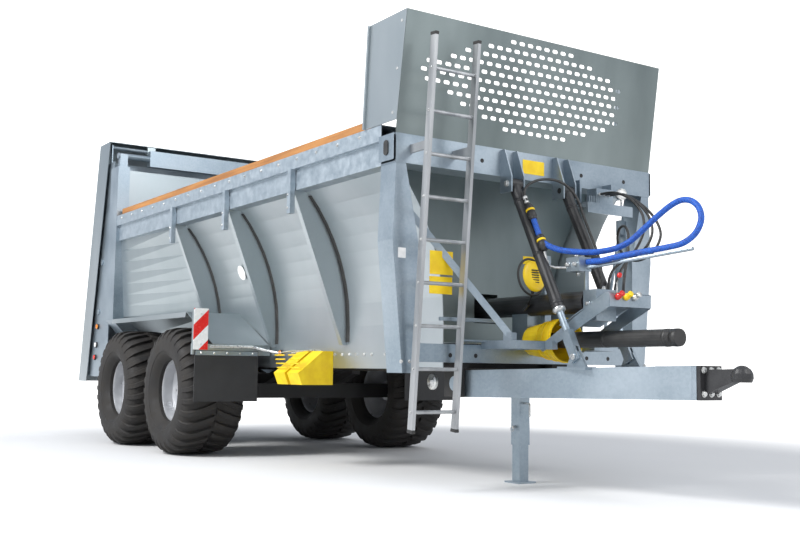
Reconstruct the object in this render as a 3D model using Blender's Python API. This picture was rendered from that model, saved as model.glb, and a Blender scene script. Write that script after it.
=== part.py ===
"""Tandem-axle push-off manure spreader, modelled as separate named solids.

Metres, +X towards the tractor, +Y to the machine's left, +Z up, ground at z = 0.
Every position below is measured from the front axle; the empty "machine" then
shifts the whole model so that its origin lies under the middle of its outer box.
"""
import math

import bmesh
import bpy
from mathutils import Matrix, Vector

# ---------------------------------------------------------------- driving sizes
SEAT_GAP = 0.0003          # between two pieces that rest on or against each other
PIN_GAP = 0.0004           # round a pin or shaft that turns in its bearing
OVERLAP = 0.002            # how deep welded members enter each other
FLUSH = 0.0002             # how far a welded face stands back from its neighbour's face
SHEET = 0.006              # plate thickness of the body
BAR = 0.012                # plate thickness of lugs, gussets and ribs

# wheels and axles
WHEEL_BASE = 1.49
TRACK = 2.36
TYRE_RADIUS = 0.616
TYRE_WIDTH = 0.64
TYRE_BEAD_RADIUS = 0.300
HUB_RADIUS = 0.105
SPINDLE_RADIUS = 0.055
AXLE_SIZE = 0.15
WHEEL_SIDES = 28

# chassis rails, on the leaf packs
CHASSIS_BOTTOM = TYRE_RADIUS + 0.214
CHASSIS_DEPTH = 0.22
CHASSIS_HALF_GAUGE = 0.42
CHASSIS_WIDTH = 0.10
FLOOR_Z = CHASSIS_BOTTOM + CHASSIS_DEPTH     # top of the floor sheet

# fenders over the tyres
FENDER_Z = 2 * TYRE_RADIUS + 0.153
FENDER_SHEET = 0.004
FENDER_BEND_X = 0.03
FENDER_TOE = (TYRE_RADIUS + 0.084, FLOOR_Z + 0.01)
FENDER_SKIRT = 0.05

# trough: the body runs from the gate posts to the front frame
BODY_LENGTH = 5.96
BODY_HALF_WIDTH = 1.266    # over the top rails
POST_FRONT = -2.23
POST_DEPTH = 0.26
POST_REAR = POST_FRONT - POST_DEPTH
FRONT_X = POST_FRONT + BODY_LENGTH
BEAM_DEPTH = 0.20
HOPPER_REAR = POST_FRONT + SEAT_GAP
HOPPER_FRONT = FRONT_X - BEAM_DEPTH - SEAT_GAP
SKIRT_BOTTOM = FLOOR_Z - 0.20
FOOT_HALF_WIDTH = 0.70     # outer face of the wall at its foot
ARC_START_Z = FLOOR_Z + 0.15
WALL_HEIGHT = 1.262
WALL_TOP_Z = FLOOR_Z + WALL_HEIGHT
WALL_TOP_HALF_WIDTH = BODY_HALF_WIDTH - 0.149
ARC_STEPS = 7
FLARE_LENGTH = 1.41
FLARE_FRONT = POST_FRONT + FLARE_LENGTH
FLARE_Z = FENDER_Z + 0.035
FLARE_HALF_WIDTH = BODY_HALF_WIDTH - 0.126
FLARE_TOP_HALF_WIDTH = BODY_HALF_WIDTH - 0.061

# top rails with their timber
RAIL_WEB_HALF_WIDTH = BODY_HALF_WIDTH - 0.034
RAIL_LIP_Z = WALL_TOP_Z + 0.173
RAIL_TOP_Z = WALL_TOP_Z + 0.290
TIMBER_HEIGHT = 0.080
TIMBER_WIDTH = 0.070
TIMBER_INSET = 0.045

# folded ribs and the stake pockets above them
RIB_FIRST_X = -0.47
RIB_SPACING = 1.307
RIB_COUNT = 3
RIB_FLANGE = 0.05
RIB_FOOT_Z = FLOOR_Z - 0.005
RIB_FOOT_HALF_WIDTH = FOOT_HALF_WIDTH + 0.045
RIB_HEAD_HALF_WIDTH = RAIL_WEB_HALF_WIDTH + 0.006
STAKE_POCKET_WIDTH = 0.055
STAKE_POCKET_DEPTH = 0.045
STAKE_POCKET_BOTTOM = WALL_TOP_Z - 0.194

# front frame and head board
BEAM_BOTTOM = WALL_TOP_Z - 0.011
BEAM_TOP = BEAM_BOTTOM + 0.21
BEAM_HALF_WIDTH = BODY_HALF_WIDTH + 0.002
LEG_BOTTOM = FLOOR_Z - 0.23
LEG_KNEE_Z = FLOOR_Z + 0.70
SILL_BOTTOM = FLOOR_Z - 0.15
SILL_TOP = FLOOR_Z - 0.02
SILL_HALF_WIDTH = BODY_HALF_WIDTH - 0.186
HEAD_TOP = BEAM_TOP + 0.867
HEAD_LEAN = 0.13
WING_LENGTH = 0.49
GUSSET_Y = (0.20, 0.32)
GUSSET_REACH = 0.13
GUSSET_BOTTOM = BEAM_BOTTOM - 0.131

# drawbar, sprung on its struts
PIVOT_X = FRONT_X - 0.28
PIVOT_Z = CHASSIS_BOTTOM - 0.085
PIVOT_RADIUS = 0.055
DRAWBAR_LENGTH = 1.90
NOSE_X = PIVOT_X + DRAWBAR_LENGTH
LEG_REAR_HALF_WIDTH = 0.48
LEG_NOSE_HALF_WIDTH = 0.105
LEG_WIDTH = 0.10
LEG_REAR_Z = (PIVOT_Z - 0.10, PIVOT_Z + 0.10)
LEG_NOSE_Z = (PIVOT_Z - 0.07, PIVOT_Z + 0.145)
NOSE_PLATE = 0.036
COUPLING_PLATE = 0.028
COUPLING_REACH = 0.235
COUPLING_BALL_RADIUS = 0.068
COUPLING_Z = PIVOT_Z + 0.10
STRUT_Y = sum(GUSSET_Y) / 2
STRUT_TOP_X = FRONT_X + 0.08
STRUT_TOP_Z = BEAM_BOTTOM - 0.066
STRUT_FOOT_X = FRONT_X + 0.748
STRUT_FOOT_Z = PIVOT_Z + 0.20
STRUT_RADIUS = 0.043
STRUT_ROD_RADIUS = 0.026
STRUT_PIN_RADIUS = 0.022
LUG_THICKNESS = 0.020

# parking jack
JACK_X = PIVOT_X + 0.13
JACK_TUBE = 0.100
JACK_WALL = 0.006
JACK_TUBE_BOTTOM = 0.285
JACK_FOOT_SIZE = 0.17
JACK_FOOT_PLATE = 0.012
JACK_OVERLAP = 0.10

# ladder
LADDER_Y = 0.316 - BODY_HALF_WIDTH
LADDER_WIDTH = 0.40
LADDER_BOTTOM = (FRONT_X + 0.035, 0.41)
LADDER_TOP = (FRONT_X + 0.275, FLOOR_Z + 2.14)
LADDER_RAIL = (0.058, 0.026)
LADDER_RUNG_RADIUS = 0.014
LADDER_RUNGS = 9
LADDER_PITCH = 0.300

# gate posts and dosing gate
POST_OUTER = BODY_HALF_WIDTH + 0.004
POST_INNER = BODY_HALF_WIDTH - 0.136
POST_BOTTOM = FLARE_Z - 0.04
POST_TOP = WALL_TOP_Z + 0.888
GATE_X = POST_FRONT - 0.17
GATE_SHEET = 0.012
GATE_ROOM = 0.012          # between the gate and each side of its groove
GATE_GROOVE = 0.05
GATE_BOTTOM = FLOOR_Z - 0.02
GATE_TOP = POST_TOP - 0.01
GATE_STIFFENERS = 3
CROSSHEAD_Z = (POST_TOP + 0.04, POST_TOP + 0.23)
CROSSHEAD_HALF_WIDTH = BODY_HALF_WIDTH - 0.386

# spreading unit: beaters, discs and hood
UNIT_PLATE_Y = BODY_HALF_WIDTH - 0.031
UNIT_TOP = POST_TOP + 0.10
UNIT_BOTTOM = FLOOR_Z - 0.33
BED_TOP = UNIT_BOTTOM + 0.11
BEATER_RADIUS = 0.25
BEATER_CORE = 0.075
BEATER_SHAFT = 0.035
BEATER_X = (POST_REAR - BEATER_RADIUS - 0.06, POST_REAR - BEATER_RADIUS - 0.12)
BEATER_Z = (FLOOR_Z + 0.45 + 2 * BEATER_RADIUS + 0.10, FLOOR_Z + 0.45)
DISC_RADIUS = 0.40
DISC_X = POST_REAR - DISC_RADIUS - 0.03
DISC_Y = DISC_RADIUS + 0.10
DISC_Z = BED_TOP + 0.07
DISC_SPINDLE = 0.03
HOOD_TOP = POST_TOP + 0.35
HOOD_BOTTOM = FLOOR_Z - 0.39
HOOD_LEAN = 0.50
HOOD_TOP_REAR = DISC_X - DISC_RADIUS - 0.11 + HOOD_LEAN
HOOD_TOP_FRONT = HOOD_TOP_REAR + 0.37
HOOD_HALF_WIDTH = BODY_HALF_WIDTH + 0.009
HOOD_CHEEK = 0.30
HINGE_RADIUS = 0.025
HINGE_DROP = 0.06          # of the hood's hinge line below and behind its roof's front edge

# push wall on its telescopic cylinder
PUSH_X = FRONT_X - 0.58
PUSH_THICKNESS = 0.06
PUSH_TOP = WALL_TOP_Z + 0.188
PUSH_CLEAR = 0.015
CYLINDER_Z = FLOOR_Z + 0.29
CYLINDER_RADIUS = 0.080
CYLINDER_LENGTH = 1.42
STAGE_STEP = 0.014
STAGE_COUNT = 3
POCKET_DEPTH = 0.24
POCKET_SHEET = 0.012

# drive shaft
PTO_Z = FLOOR_Z + 0.022
PTO_REAR = FRONT_X + 0.07
PTO_LENGTH = 1.37
PTO_RADIUS = 0.058
PTO_STUB = 0.022
BELL_RADIUS = (0.11, 0.165)
BELL_LENGTH = 0.37

# mud flaps, warning boards and wheel chocks
FLAP_BOTTOM = 0.53
FLAP_THICKNESS = 0.010
BOARD_WIDTH = 0.141
BOARD_HEIGHT = 0.38
BOARD_SHEET = 0.006
CHOCK_X = (1.47, 1.72)
CHOCK_WIDTH = 0.20
CHOCK_TOP_Z = FLOOR_Z - 0.055
CHOCK_HEIGHT = 0.29

# valve tray, stays and hoses in front of the body
TRAY_HALF_WIDTH = 0.20
TRAY_FRONT = FRONT_X + 1.01
PLATFORM_HALF_WIDTH = BODY_HALF_WIDTH - 0.766
PLATFORM_FRONT = FRONT_X + 0.39
STAY_WIDTH = 0.05
STAY_THICKNESS = 0.012
HOSE_CLAMP_Y = (0.44, 0.60)
HOSE_CLAMP_HEIGHT = 0.12
PLUG_HEIGHT = 0.045
PLUG_RADIUS = 0.013
COUPLER_RADIUS = 0.028
COUPLER_REACH = (0.16, 0.25)                     # shares of the strut's length
BLUE_HOSE_RADIUS = 0.021
BLACK_HOSE_RADIUS = 0.010
HOSE_STEP = 2.2                                  # diameters between a tube's rings

# hose routes, chosen by hand from one fitting to the other, and measured from the body's front end and the floor
def from_front(points):
    """Turn points measured from the body's front end and the floor into places on the machine."""
    return [(FRONT_X + x, y, FLOOR_Z + z) for x, y, z in points]


BLUE_ROUTE = from_front([
    (0.3057, -0.260, 0.8925), (0.3517, -0.260, 0.8037), (0.3795, -0.260, 0.75), (0.44, -0.248, 0.695),
    (0.53, -0.205, 0.655), (0.63, -0.140, 0.638), (0.73, -0.050, 0.635), (0.83, 0.040, 0.658),
    (0.92, 0.095, 0.707), (1.02, 0.125, 0.785), (1.12, 0.140, 0.855), (1.23, 0.145, 0.915),
    (1.325, 0.147, 0.945), (1.415, 0.145, 0.933), (1.486, 0.140, 0.880), (1.516, 0.129, 0.795),
    (1.484, 0.110, 0.706), (1.40, 0.084, 0.646), (1.28, 0.0565, 0.6252), (1.07, 0.0086, 0.6045),
    (0.92, -0.045, 0.584), (0.83, -0.0815, 0.566), (0.77, -0.0815, 0.566), (0.6753, -0.0815, 0.566),
])
OUTER_ROUTE = from_front([
    (0.2326, 0.570, 1.165), (0.28, 0.570, 1.165), (0.325, 0.570, 1.165), (0.40, 0.570, 1.15),
    (0.51, 0.570, 1.095), (0.63, 0.570, 1.01), (0.73, 0.560, 0.91), (0.79, 0.540, 0.80),
    (0.765, 0.510, 0.695), (0.69, 0.480, 0.63), (0.595, 0.450, 0.62), (0.522, 0.418, 0.678),
    (0.506, 0.388, 0.768), (0.55, 0.358, 0.846), (0.634, 0.326, 0.862), (0.70, 0.296, 0.806),
    (0.732, 0.266, 0.71), (0.756, 0.230, 0.61), (0.78, 0.180, 0.50), (0.80, 0.145, 0.391),
    (0.80, 0.145, 0.344), (0.80, 0.145, 0.2972),
])
MIDDLE_ROUTE = from_front([
    (0.2326, 0.520, 1.165), (0.28, 0.520, 1.165), (0.325, 0.520, 1.165), (0.40, 0.520, 1.152),
    (0.51, 0.520, 1.105), (0.625, 0.515, 1.028), (0.715, 0.505, 0.928), (0.76, 0.485, 0.818),
    (0.74, 0.450, 0.715), (0.67, 0.415, 0.65), (0.58, 0.380, 0.615), (0.525, 0.335, 0.56),
    (0.525, 0.285, 0.49), (0.57, 0.230, 0.43), (0.615, 0.180, 0.375), (0.64, 0.150, 0.321),
    (0.64, 0.150, 0.274), (0.64, 0.150, 0.2272),
])
INNER_ROUTE = from_front([
    (0.2326, 0.470, 1.165), (0.28, 0.470, 1.165), (0.325, 0.470, 1.165), (0.40, 0.470, 1.155),
    (0.51, 0.470, 1.115), (0.62, 0.460, 1.04), (0.70, 0.450, 0.945), (0.73, 0.430, 0.835),
    (0.72, 0.390, 0.73), (0.695, 0.335, 0.64), (0.68, 0.270, 0.56), (0.688, 0.215, 0.49),
    (0.706, 0.165, 0.42), (0.72, 0.140, 0.356), (0.72, 0.140, 0.309), (0.72, 0.140, 0.2622),
])
BRIDGE_ROUTE = from_front([
    (0.2454, -0.260, 1.0093), (0.2242, -0.260, 1.0502), (0.204, -0.260, 1.0892), (0.192, -0.245, 1.14),
    (0.203, -0.195, 1.187), (0.22, -0.110, 1.218), (0.235, 0.000, 1.225), (0.245, 0.100, 1.20),
    (0.265, 0.170, 1.14), (0.29, 0.200, 1.07), (0.32, 0.205, 0.995), (0.365, 0.205, 0.90),
    (0.42, 0.205, 0.79), (0.48, 0.200, 0.68), (0.53, 0.188, 0.57), (0.555, 0.172, 0.47),
    (0.568, 0.155, 0.37), (0.57, 0.150, 0.291), (0.57, 0.150, 0.244), (0.57, 0.150, 0.1966),
])

REAR_END = HOOD_TOP_REAR - HOOD_LEAN
FRONT_END = NOSE_X + NOSE_PLATE + SEAT_GAP + COUPLING_PLATE + COUPLING_REACH + COUPLING_BALL_RADIUS
MID_X = (REAR_END + FRONT_END) / 2


# ---------------------------------------------------------------- clean start
for old in list(bpy.data.objects):
    bpy.data.objects.remove(old, do_unlink=True)

machine = bpy.data.objects.new("machine", None)
machine.location = (-MID_X, 0, 0)
bpy.context.scene.collection.objects.link(machine)


def material(name, colour, roughness, metallic=0.0):
    finish = bpy.data.materials.new(name)
    finish.use_nodes = True
    shader = finish.node_tree.nodes["Principled BSDF"]
    shader.inputs["Base Color"].default_value = (*colour, 1.0)
    shader.inputs["Roughness"].default_value = roughness
    shader.inputs["Metallic"].default_value = metallic
    return finish


GALVANISED = material("galvanised_steel", (0.52, 0.57, 0.60), 0.42, 0.85)
BLACK_STEEL = material("black_steel", (0.02, 0.02, 0.022), 0.45, 0.3)
RUBBER = material("tyre_rubber", (0.035, 0.033, 0.030), 0.85)
RIM_SILVER = material("rim_silver", (0.62, 0.64, 0.66), 0.38, 0.5)
TIMBER = material("rail_timber", (0.60, 0.30, 0.10), 0.7)
YELLOW = material("yellow_plastic", (0.92, 0.66, 0.01), 0.45)
ALUMINIUM = material("ladder_aluminium", (0.72, 0.72, 0.73), 0.35, 0.9)
BLACK_PLASTIC = material("black_plastic", (0.03, 0.03, 0.03), 0.5)
WARNING = material("warning_panel", (0.85, 0.10, 0.08), 0.5)
HOSE_BLUE = material("blue_hose_sleeve", (0.02, 0.10, 0.42), 0.6)
HOSE_BLACK = material("black_hose", (0.02, 0.02, 0.02), 0.5)


# ---------------------------------------------------------------- shape helpers
def new_object(name, verts, faces, finish):
    """A closed mesh with its faces turned outward."""
    mesh = bpy.data.meshes.new(name)
    mesh.from_pydata([tuple(v) for v in verts], [], faces)
    shape = bmesh.new()
    shape.from_mesh(mesh)
    bmesh.ops.recalc_face_normals(shape, faces=shape.faces)
    shape.to_mesh(mesh)
    shape.free()
    mesh.materials.append(finish)
    obj = bpy.data.objects.new(name, mesh)
    bpy.context.scene.collection.objects.link(obj)
    obj.parent = machine
    return obj


def placed(pair, along, axis):
    """A point from its place along one axis and its pair of values on the two others."""
    spot = list(pair)
    spot.insert("xyz".index(axis), along)
    return spot


def prism(name, outline, low, high, axis, finish):
    """An outline in the two other axes (in X, Y, Z order), extruded from low to high."""
    count = len(outline)
    verts = [placed(p, end, axis) for end in (low, high) for p in outline]
    sides = [(i, (i + 1) % count, count + (i + 1) % count, count + i) for i in range(count)]
    return new_object(name, verts, [tuple(range(count)), tuple(range(count, 2 * count))] + sides, finish)


def box(name, x, y, z, finish):
    """A block between two values on each axis."""
    outline = [(x[0], y[0]), (x[1], y[0]), (x[1], y[1]), (x[0], y[1])]
    return prism(name, outline, z[0], z[1], "z", finish)


def loft(name, rings, finish):
    """Rings of equally many points, joined in turn and capped at both ends."""
    count = len(rings[0])
    verts = [p for ring in rings for p in ring]
    faces = [tuple(range(count)), tuple(range(count * (len(rings) - 1), count * len(rings)))]
    for r in range(len(rings) - 1):
        a, b = r * count, (r + 1) * count
        faces += [(a + i, a + (i + 1) % count, b + (i + 1) % count, b + i) for i in range(count)]
    return new_object(name, verts, faces, finish)


def skin(name, rows, offset, finish):
    """A sheet through rows of points, thickened by one offset; both faces are split alike."""
    count = len(rows[0])
    points = [p for row in rows for p in row]
    far = len(points)
    faces = []
    for r in range(len(rows) - 1):
        for i in range(r * count, (r + 1) * count - 1):
            for near in (i, i + far):
                faces += [(near, near + 1, near + count + 1), (near, near + count + 1, near + count)]
    border = [r * count for r in range(len(rows))]
    border += list(range(far - count + 1, far))
    border += [r * count + count - 1 for r in reversed(range(len(rows) - 1))]
    border += list(range(count - 2, 0, -1))
    faces += [(a, b, b + far, a + far) for a, b in zip(border, border[1:] + border[:1])]
    return new_object(name, points + [p + offset for p in points], faces, finish)


def circle(centre, across, up, radius, sides, turn=0.0):
    angles = [turn + 2 * math.pi * i / sides for i in range(sides)]
    return [centre + across * radius * math.cos(a) + up * radius * math.sin(a) for a in angles]


def side_axes(direction):
    """Two unit directions square to the given one, the second as upright as it can be."""
    upright = Vector((0, 0, 1)) if abs(direction.z) < 0.9 else Vector((1, 0, 0))
    across = direction.cross(upright).normalized()
    return across, across.cross(direction).normalized()


def rod(name, start, end, radius, finish, sides=16, turn=0.0):
    """A round bar between two points; a pair of radii makes it a cone."""
    start, end = Vector(start), Vector(end)
    across, up = side_axes((end - start).normalized())
    radii = radius if isinstance(radius, tuple) else (radius, radius)
    return loft(name, [circle(start, across, up, radii[0], sides, turn),
                       circle(end, across, up, radii[1], sides, turn)], finish)


def beam(name, start, end, width, height, finish):
    """A square-cut bar between two points, width across and height upward."""
    start, end = Vector(start), Vector(end)
    across, up = side_axes((end - start).normalized())
    corners = ((-1, -1), (1, -1), (1, 1), (-1, 1))
    rings = [[c + across * width / 2 * i + up * height / 2 * j for i, j in corners] for c in (start, end)]
    return loft(name, rings, finish)


def turned(name, profile, centre, sides, finish, turn=0.0):
    """A closed profile of (radius, along Y) points, turned about the Y axis through centre."""
    centre = Vector(centre)
    count = len(profile)
    verts, faces = [], []
    for s in range(sides):
        a = turn + 2 * math.pi * s / sides
        verts += [centre + Vector((r * math.cos(a), along, r * math.sin(a))) for r, along in profile]
        here, there = s * count, ((s + 1) % sides) * count
        faces += [(here + i, here + (i + 1) % count, there + (i + 1) % count, there + i) for i in range(count)]
    return new_object(name, verts, faces, finish)


def hole_radius(radius, sides, gap=PIN_GAP):
    """Circumradius of a many-sided hole whose flats clear a round pin by the gap."""
    return (radius + gap) / math.cos(math.pi / sides)


def flat_radius(radius, sides):
    """Circumradius of a many-sided wheel whose flats lie at the radius."""
    return radius / math.cos(math.pi / sides)


def offset_outline(outline, distance):
    """The same closed outline moved inward by a distance, with mitred corners."""
    area = sum(a[0] * b[1] - b[0] * a[1] for a, b in zip(outline, outline[1:] + outline[:1]))
    sign = 1 if area > 0 else -1
    moved = []
    for i, here in enumerate(outline):
        before, after = Vector(outline[i - 1]), Vector(outline[(i + 1) % len(outline)])
        here = Vector(here)
        first, second = (here - before).normalized(), (after - here).normalized()
        n1, n2 = Vector((-first.y, first.x)) * sign, Vector((-second.y, second.x)) * sign
        mitre = (n1 + n2).normalized()
        moved.append(tuple(here + mitre * (distance / mitre.dot(n1))))
    return moved


def hollow_prism(name, outline, wall, low, high, axis, finish):
    """A tube with the given outer outline, open at both ends."""
    inner = offset_outline(outline, wall)
    n = len(outline)
    verts = [placed(p, end, axis) for end in (low, high) for ring in (outline, inner) for p in ring]
    faces = []
    for i in range(n):
        j = (i + 1) % n
        faces += [(i, j, 2 * n + j, 2 * n + i), (n + i, n + j, 3 * n + j, 3 * n + i),
                  (i, j, n + j, n + i), (2 * n + i, 2 * n + j, 3 * n + j, 3 * n + i)]
    return new_object(name, verts, faces, finish)


def tube(name, start, end, radius, bore, finish, sides=16, turn=0.0):
    """A round pipe between two points, open at both ends."""
    start, end = Vector(start), Vector(end)
    across, up = side_axes((end - start).normalized())
    rings = [circle(c, across, up, r, sides, turn) for c in (start, end) for r in (radius, bore)]
    verts = [p for ring in rings for p in ring]
    n = sides
    faces = []
    for i in range(n):
        j = (i + 1) % n
        faces += [(i, j, 2 * n + j, 2 * n + i), (n + i, n + j, 3 * n + j, 3 * n + i),
                  (i, j, n + j, n + i), (2 * n + i, 2 * n + j, 3 * n + j, 3 * n + i)]
    return new_object(name, verts, faces, finish)


def hide(tool):
    """Keep a helper solid out of the model."""
    tool.hide_render = True
    tool.display_type = "WIRE"
    return tool


def combine(base, others, operation):
    for other in others:
        step = base.modifiers.new(operation.lower(), "BOOLEAN")
        step.operation = operation
        step.solver = "EXACT"
        step.object = hide(other)
    return base


def weld(base, *others):
    return combine(base, others, "UNION")


def cut(base, *others):
    return combine(base, others, "DIFFERENCE")


def mirrored(points, side):
    """(y, z) points for the left side when side is 1, for the right side when -1."""
    return [(y * side, z) for y, z in points]


def span(side, inner, outer):
    """The Y range of a piece between two distances from the centre line."""
    return (min(side * inner, side * outer), max(side * inner, side * outer))


def span_at(centre, width):
    """The range of a width about its centre."""
    return (centre - width / 2, centre + width / 2)


def put_origin(obj, point):
    """Move an object's origin to a point while its shape stays where it is."""
    point = Vector(point)
    obj.data.transform(Matrix.Translation(-point))
    obj.location = point
    return obj


SIDES = (("right", -1), ("left", 1))


# ---------------------------------------------------------------- wheels and axles
def tyre_profile():
    half = TYRE_WIDTH / 2
    tread = flat_radius(TYRE_RADIUS, WHEEL_SIDES)
    bead = flat_radius(TYRE_BEAD_RADIUS, WHEEL_SIDES) + SEAT_GAP
    shoulder, wall = tread - 0.035, (tread + bead) / 2
    outer = [(tread, 0), (tread - 0.004, half * 0.55), (shoulder, half * 0.88), (wall + 0.06, half),
             (wall - 0.06, half * 0.97), (bead + 0.02, half * 0.78), (bead, half * 0.70)]
    return outer + [(r, -along) for r, along in reversed(outer[1:])]


def rim_profile(side):
    """Rim barrel, dished disc and hub; the hub is bored from the inboard side."""
    bead = TYRE_BEAD_RADIUS
    edge = TYRE_WIDTH / 2 * 0.70 - 0.02
    bore = SPINDLE_RADIUS + PIN_GAP
    barrel = bead - 0.014
    dish = bead - 0.07
    points = [(bead, -edge), (bead, edge), (bead - 0.012, edge), (barrel, 0.09), (dish, 0.055),
              (HUB_RADIUS + 0.045, 0.060), (HUB_RADIUS, 0.075), (HUB_RADIUS, 0.150), (HUB_RADIUS - 0.03, 0.165),
              (0.012, 0.165), (0.012, 0.120), (bore, 0.120), (bore, -0.10), (HUB_RADIUS, -0.10),
              (HUB_RADIUS, 0.035), (dish, 0.030), (barrel, 0.055), (barrel, -edge)]
    return [(r / math.cos(math.pi / WHEEL_SIDES), along * side) for r, along in points]


def running_gear():
    turn = math.pi / WHEEL_SIDES
    for axle, x in (("front", 0.0), ("rear", -WHEEL_BASE)):
        half = TRACK / 2
        hub_inner = half - 0.10
        axle_beam = box(f"axle_{axle}", (x - AXLE_SIZE / 2, x + AXLE_SIZE / 2),
                        (-hub_inner + 0.02, hub_inner - 0.02),
                        (TYRE_RADIUS - AXLE_SIZE / 2, TYRE_RADIUS + AXLE_SIZE / 2), BLACK_STEEL)
        spindles = [rod(f"spindle_{axle}_{name}", (x, side * (hub_inner - 0.05), TYRE_RADIUS),
                        (x, side * (half + 0.115), TYRE_RADIUS), SPINDLE_RADIUS, BLACK_STEEL, WHEEL_SIDES, turn)
                    for name, side in SIDES]
        springs = [spring_pack(f"spring_{axle}_{name}", x, side) for name, side in SIDES]
        weld(axle_beam, *spindles, *springs)
        for name, side in SIDES:
            centre = (x, side * half, TYRE_RADIUS)
            tyre = turned(f"tyre_{axle}_{name}", tyre_profile(), centre, WHEEL_SIDES, RUBBER, turn)
            rim = turned(f"wheel_{axle}_{name}", rim_profile(side), centre, WHEEL_SIDES, RIM_SILVER, turn)
            put_origin(tyre, centre)
            put_origin(rim, centre)


def spring_pack(name, x, side):
    """Leaf pack clamped on the axle; its ends reach the hangers under the chassis rail."""
    base = TYRE_RADIUS + AXLE_SIZE / 2 - OVERLAP
    top = CHASSIS_BOTTOM - SEAT_GAP
    outline = [(x - 0.46, top - 0.035), (x - 0.46, top), (x - 0.36, top), (x - 0.20, base + 0.10),
               (x + 0.20, base + 0.10), (x + 0.36, top), (x + 0.46, top), (x + 0.46, top - 0.035),
               (x + 0.10, base), (x - 0.10, base)]
    y = side * CHASSIS_HALF_GAUGE
    return prism(name, outline, y - 0.045, y + 0.045, "y", BLACK_STEEL)


# ---------------------------------------------------------------- chassis
def chassis():
    top = FLOOR_Z - SHEET - SEAT_GAP
    rails = [box(f"chassis_rail_{name}", (HOPPER_REAR, HOPPER_FRONT),
                 span(side, CHASSIS_HALF_GAUGE - CHASSIS_WIDTH / 2, CHASSIS_HALF_GAUGE + CHASSIS_WIDTH / 2),
                 (CHASSIS_BOTTOM, top), BLACK_STEEL) for name, side in SIDES]
    inside = CHASSIS_HALF_GAUGE - CHASSIS_WIDTH / 2 + OVERLAP
    crossings = [box(f"cross_member_{i}", (x, x + 0.12), (-inside, inside),
                     (CHASSIS_BOTTOM + 0.03, top - 0.01), BLACK_STEEL)
                 for i, x in enumerate((HOPPER_REAR + 0.05, -0.80, 0.80, 2.10, HOPPER_FRONT - 0.22))]
    brackets = [box(f"pivot_bracket_{name}", (PIVOT_X - 0.12, HOPPER_FRONT - 0.002),
                    span(side, CHASSIS_HALF_GAUGE + CHASSIS_WIDTH / 2 - OVERLAP, CHASSIS_HALF_GAUGE + 0.12),
                    (PIVOT_Z - 0.10, top - 0.02), BLACK_STEEL) for name, side in SIDES]
    frame = rails[0]
    frame.name = "chassis_frame"
    weld(frame, *crossings, rails[1], *brackets)
    pin = rod("pivot_bore", (PIVOT_X, -1, PIVOT_Z), (PIVOT_X, 1, PIVOT_Z),
              hole_radius(PIVOT_RADIUS, 20, SEAT_GAP), BLACK_STEEL, 20)
    legs = [drawbar_room(name, side) for name, side in SIDES]
    cut(frame, pin, *legs)


def drawbar_room(name, side):
    """The space that the drawbar's eyes take beside the pivot brackets."""
    return box(f"drawbar_room_{name}", (PIVOT_X - 0.14, HOPPER_FRONT + 0.1),
               span(side, CHASSIS_HALF_GAUGE - 0.06, CHASSIS_HALF_GAUGE + 0.075),
               (PIVOT_Z - 0.2, CHASSIS_BOTTOM + 0.03), BLACK_STEEL)


def hopper_floor():
    half = FOOT_HALF_WIDTH - SHEET - SEAT_GAP
    box("hopper_floor", (HOPPER_REAR, HOPPER_FRONT), (-half, half), (FLOOR_Z - SHEET, FLOOR_Z), GALVANISED)


# ---------------------------------------------------------------- hopper walls
def arc_radius():
    """Radius of the wall's arc, from upright at its foot to the rail."""
    rise = WALL_TOP_Z - ARC_START_Z
    spread = WALL_TOP_HALF_WIDTH - FOOT_HALF_WIDTH
    return (spread ** 2 + rise ** 2) / (2 * spread)


def wall_y(z):
    """Outer half width of the trough at a height."""
    if z <= ARC_START_Z:
        return FOOT_HALF_WIDTH
    radius = arc_radius()
    return FOOT_HALF_WIDTH + radius - math.sqrt(radius ** 2 - (z - ARC_START_Z) ** 2)


def wall_heights():
    top = WALL_TOP_Z - SEAT_GAP
    arc = [FLARE_Z + (top - FLARE_Z) * i / ARC_STEPS for i in range(ARC_STEPS + 1)]
    return [SKIRT_BOTTOM, FLOOR_Z, ARC_START_Z, FENDER_Z] + arc


def flare_y(z):
    """Outer half width of the wall where it meets the gate post."""
    if z <= FLOOR_Z:
        return FOOT_HALF_WIDTH
    if z <= FLARE_Z:
        return FOOT_HALF_WIDTH + (FLARE_HALF_WIDTH - FOOT_HALF_WIDTH) * (z - FLOOR_Z) / (FLARE_Z - FLOOR_Z)
    return FLARE_HALF_WIDTH + (FLARE_TOP_HALF_WIDTH - FLARE_HALF_WIDTH) * (z - FLARE_Z) / (WALL_TOP_Z - FLARE_Z)


def wall_row(x, outer_y, side):
    return [Vector((x, outer_y(z) * side, z)) for z in wall_heights()]


def rib_outer_y(z):
    share = (z - RIB_FOOT_Z) / (WALL_TOP_Z - RIB_FOOT_Z)
    return RIB_FOOT_HALF_WIDTH + (RIB_HEAD_HALF_WIDTH - RIB_FOOT_HALF_WIDTH) * share


def rib(name, x, side):
    """A folded rib: a plate between the wall and a straight outer flange."""
    top = WALL_TOP_Z - SEAT_GAP
    wall = [(wall_y(z) - OVERLAP, z) for z in wall_heights() if RIB_FOOT_Z < z]
    foot = [(FOOT_HALF_WIDTH - OVERLAP, RIB_FOOT_Z), (RIB_FOOT_HALF_WIDTH, RIB_FOOT_Z)]
    head = [(rib_outer_y(top), top)]
    plate = prism(name, mirrored(wall[::-1] + foot + head, side), x - BAR / 2, x + BAR / 2, "x", GALVANISED)
    outer = [foot[1], head[0], (head[0][0] - BAR, top), (foot[1][0] - BAR, RIB_FOOT_Z)]
    flange = prism(name + "_flange", mirrored(outer, side), x - RIB_FLANGE, x - BAR / 2 + OVERLAP, "x", GALVANISED)
    return plate, flange


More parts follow.
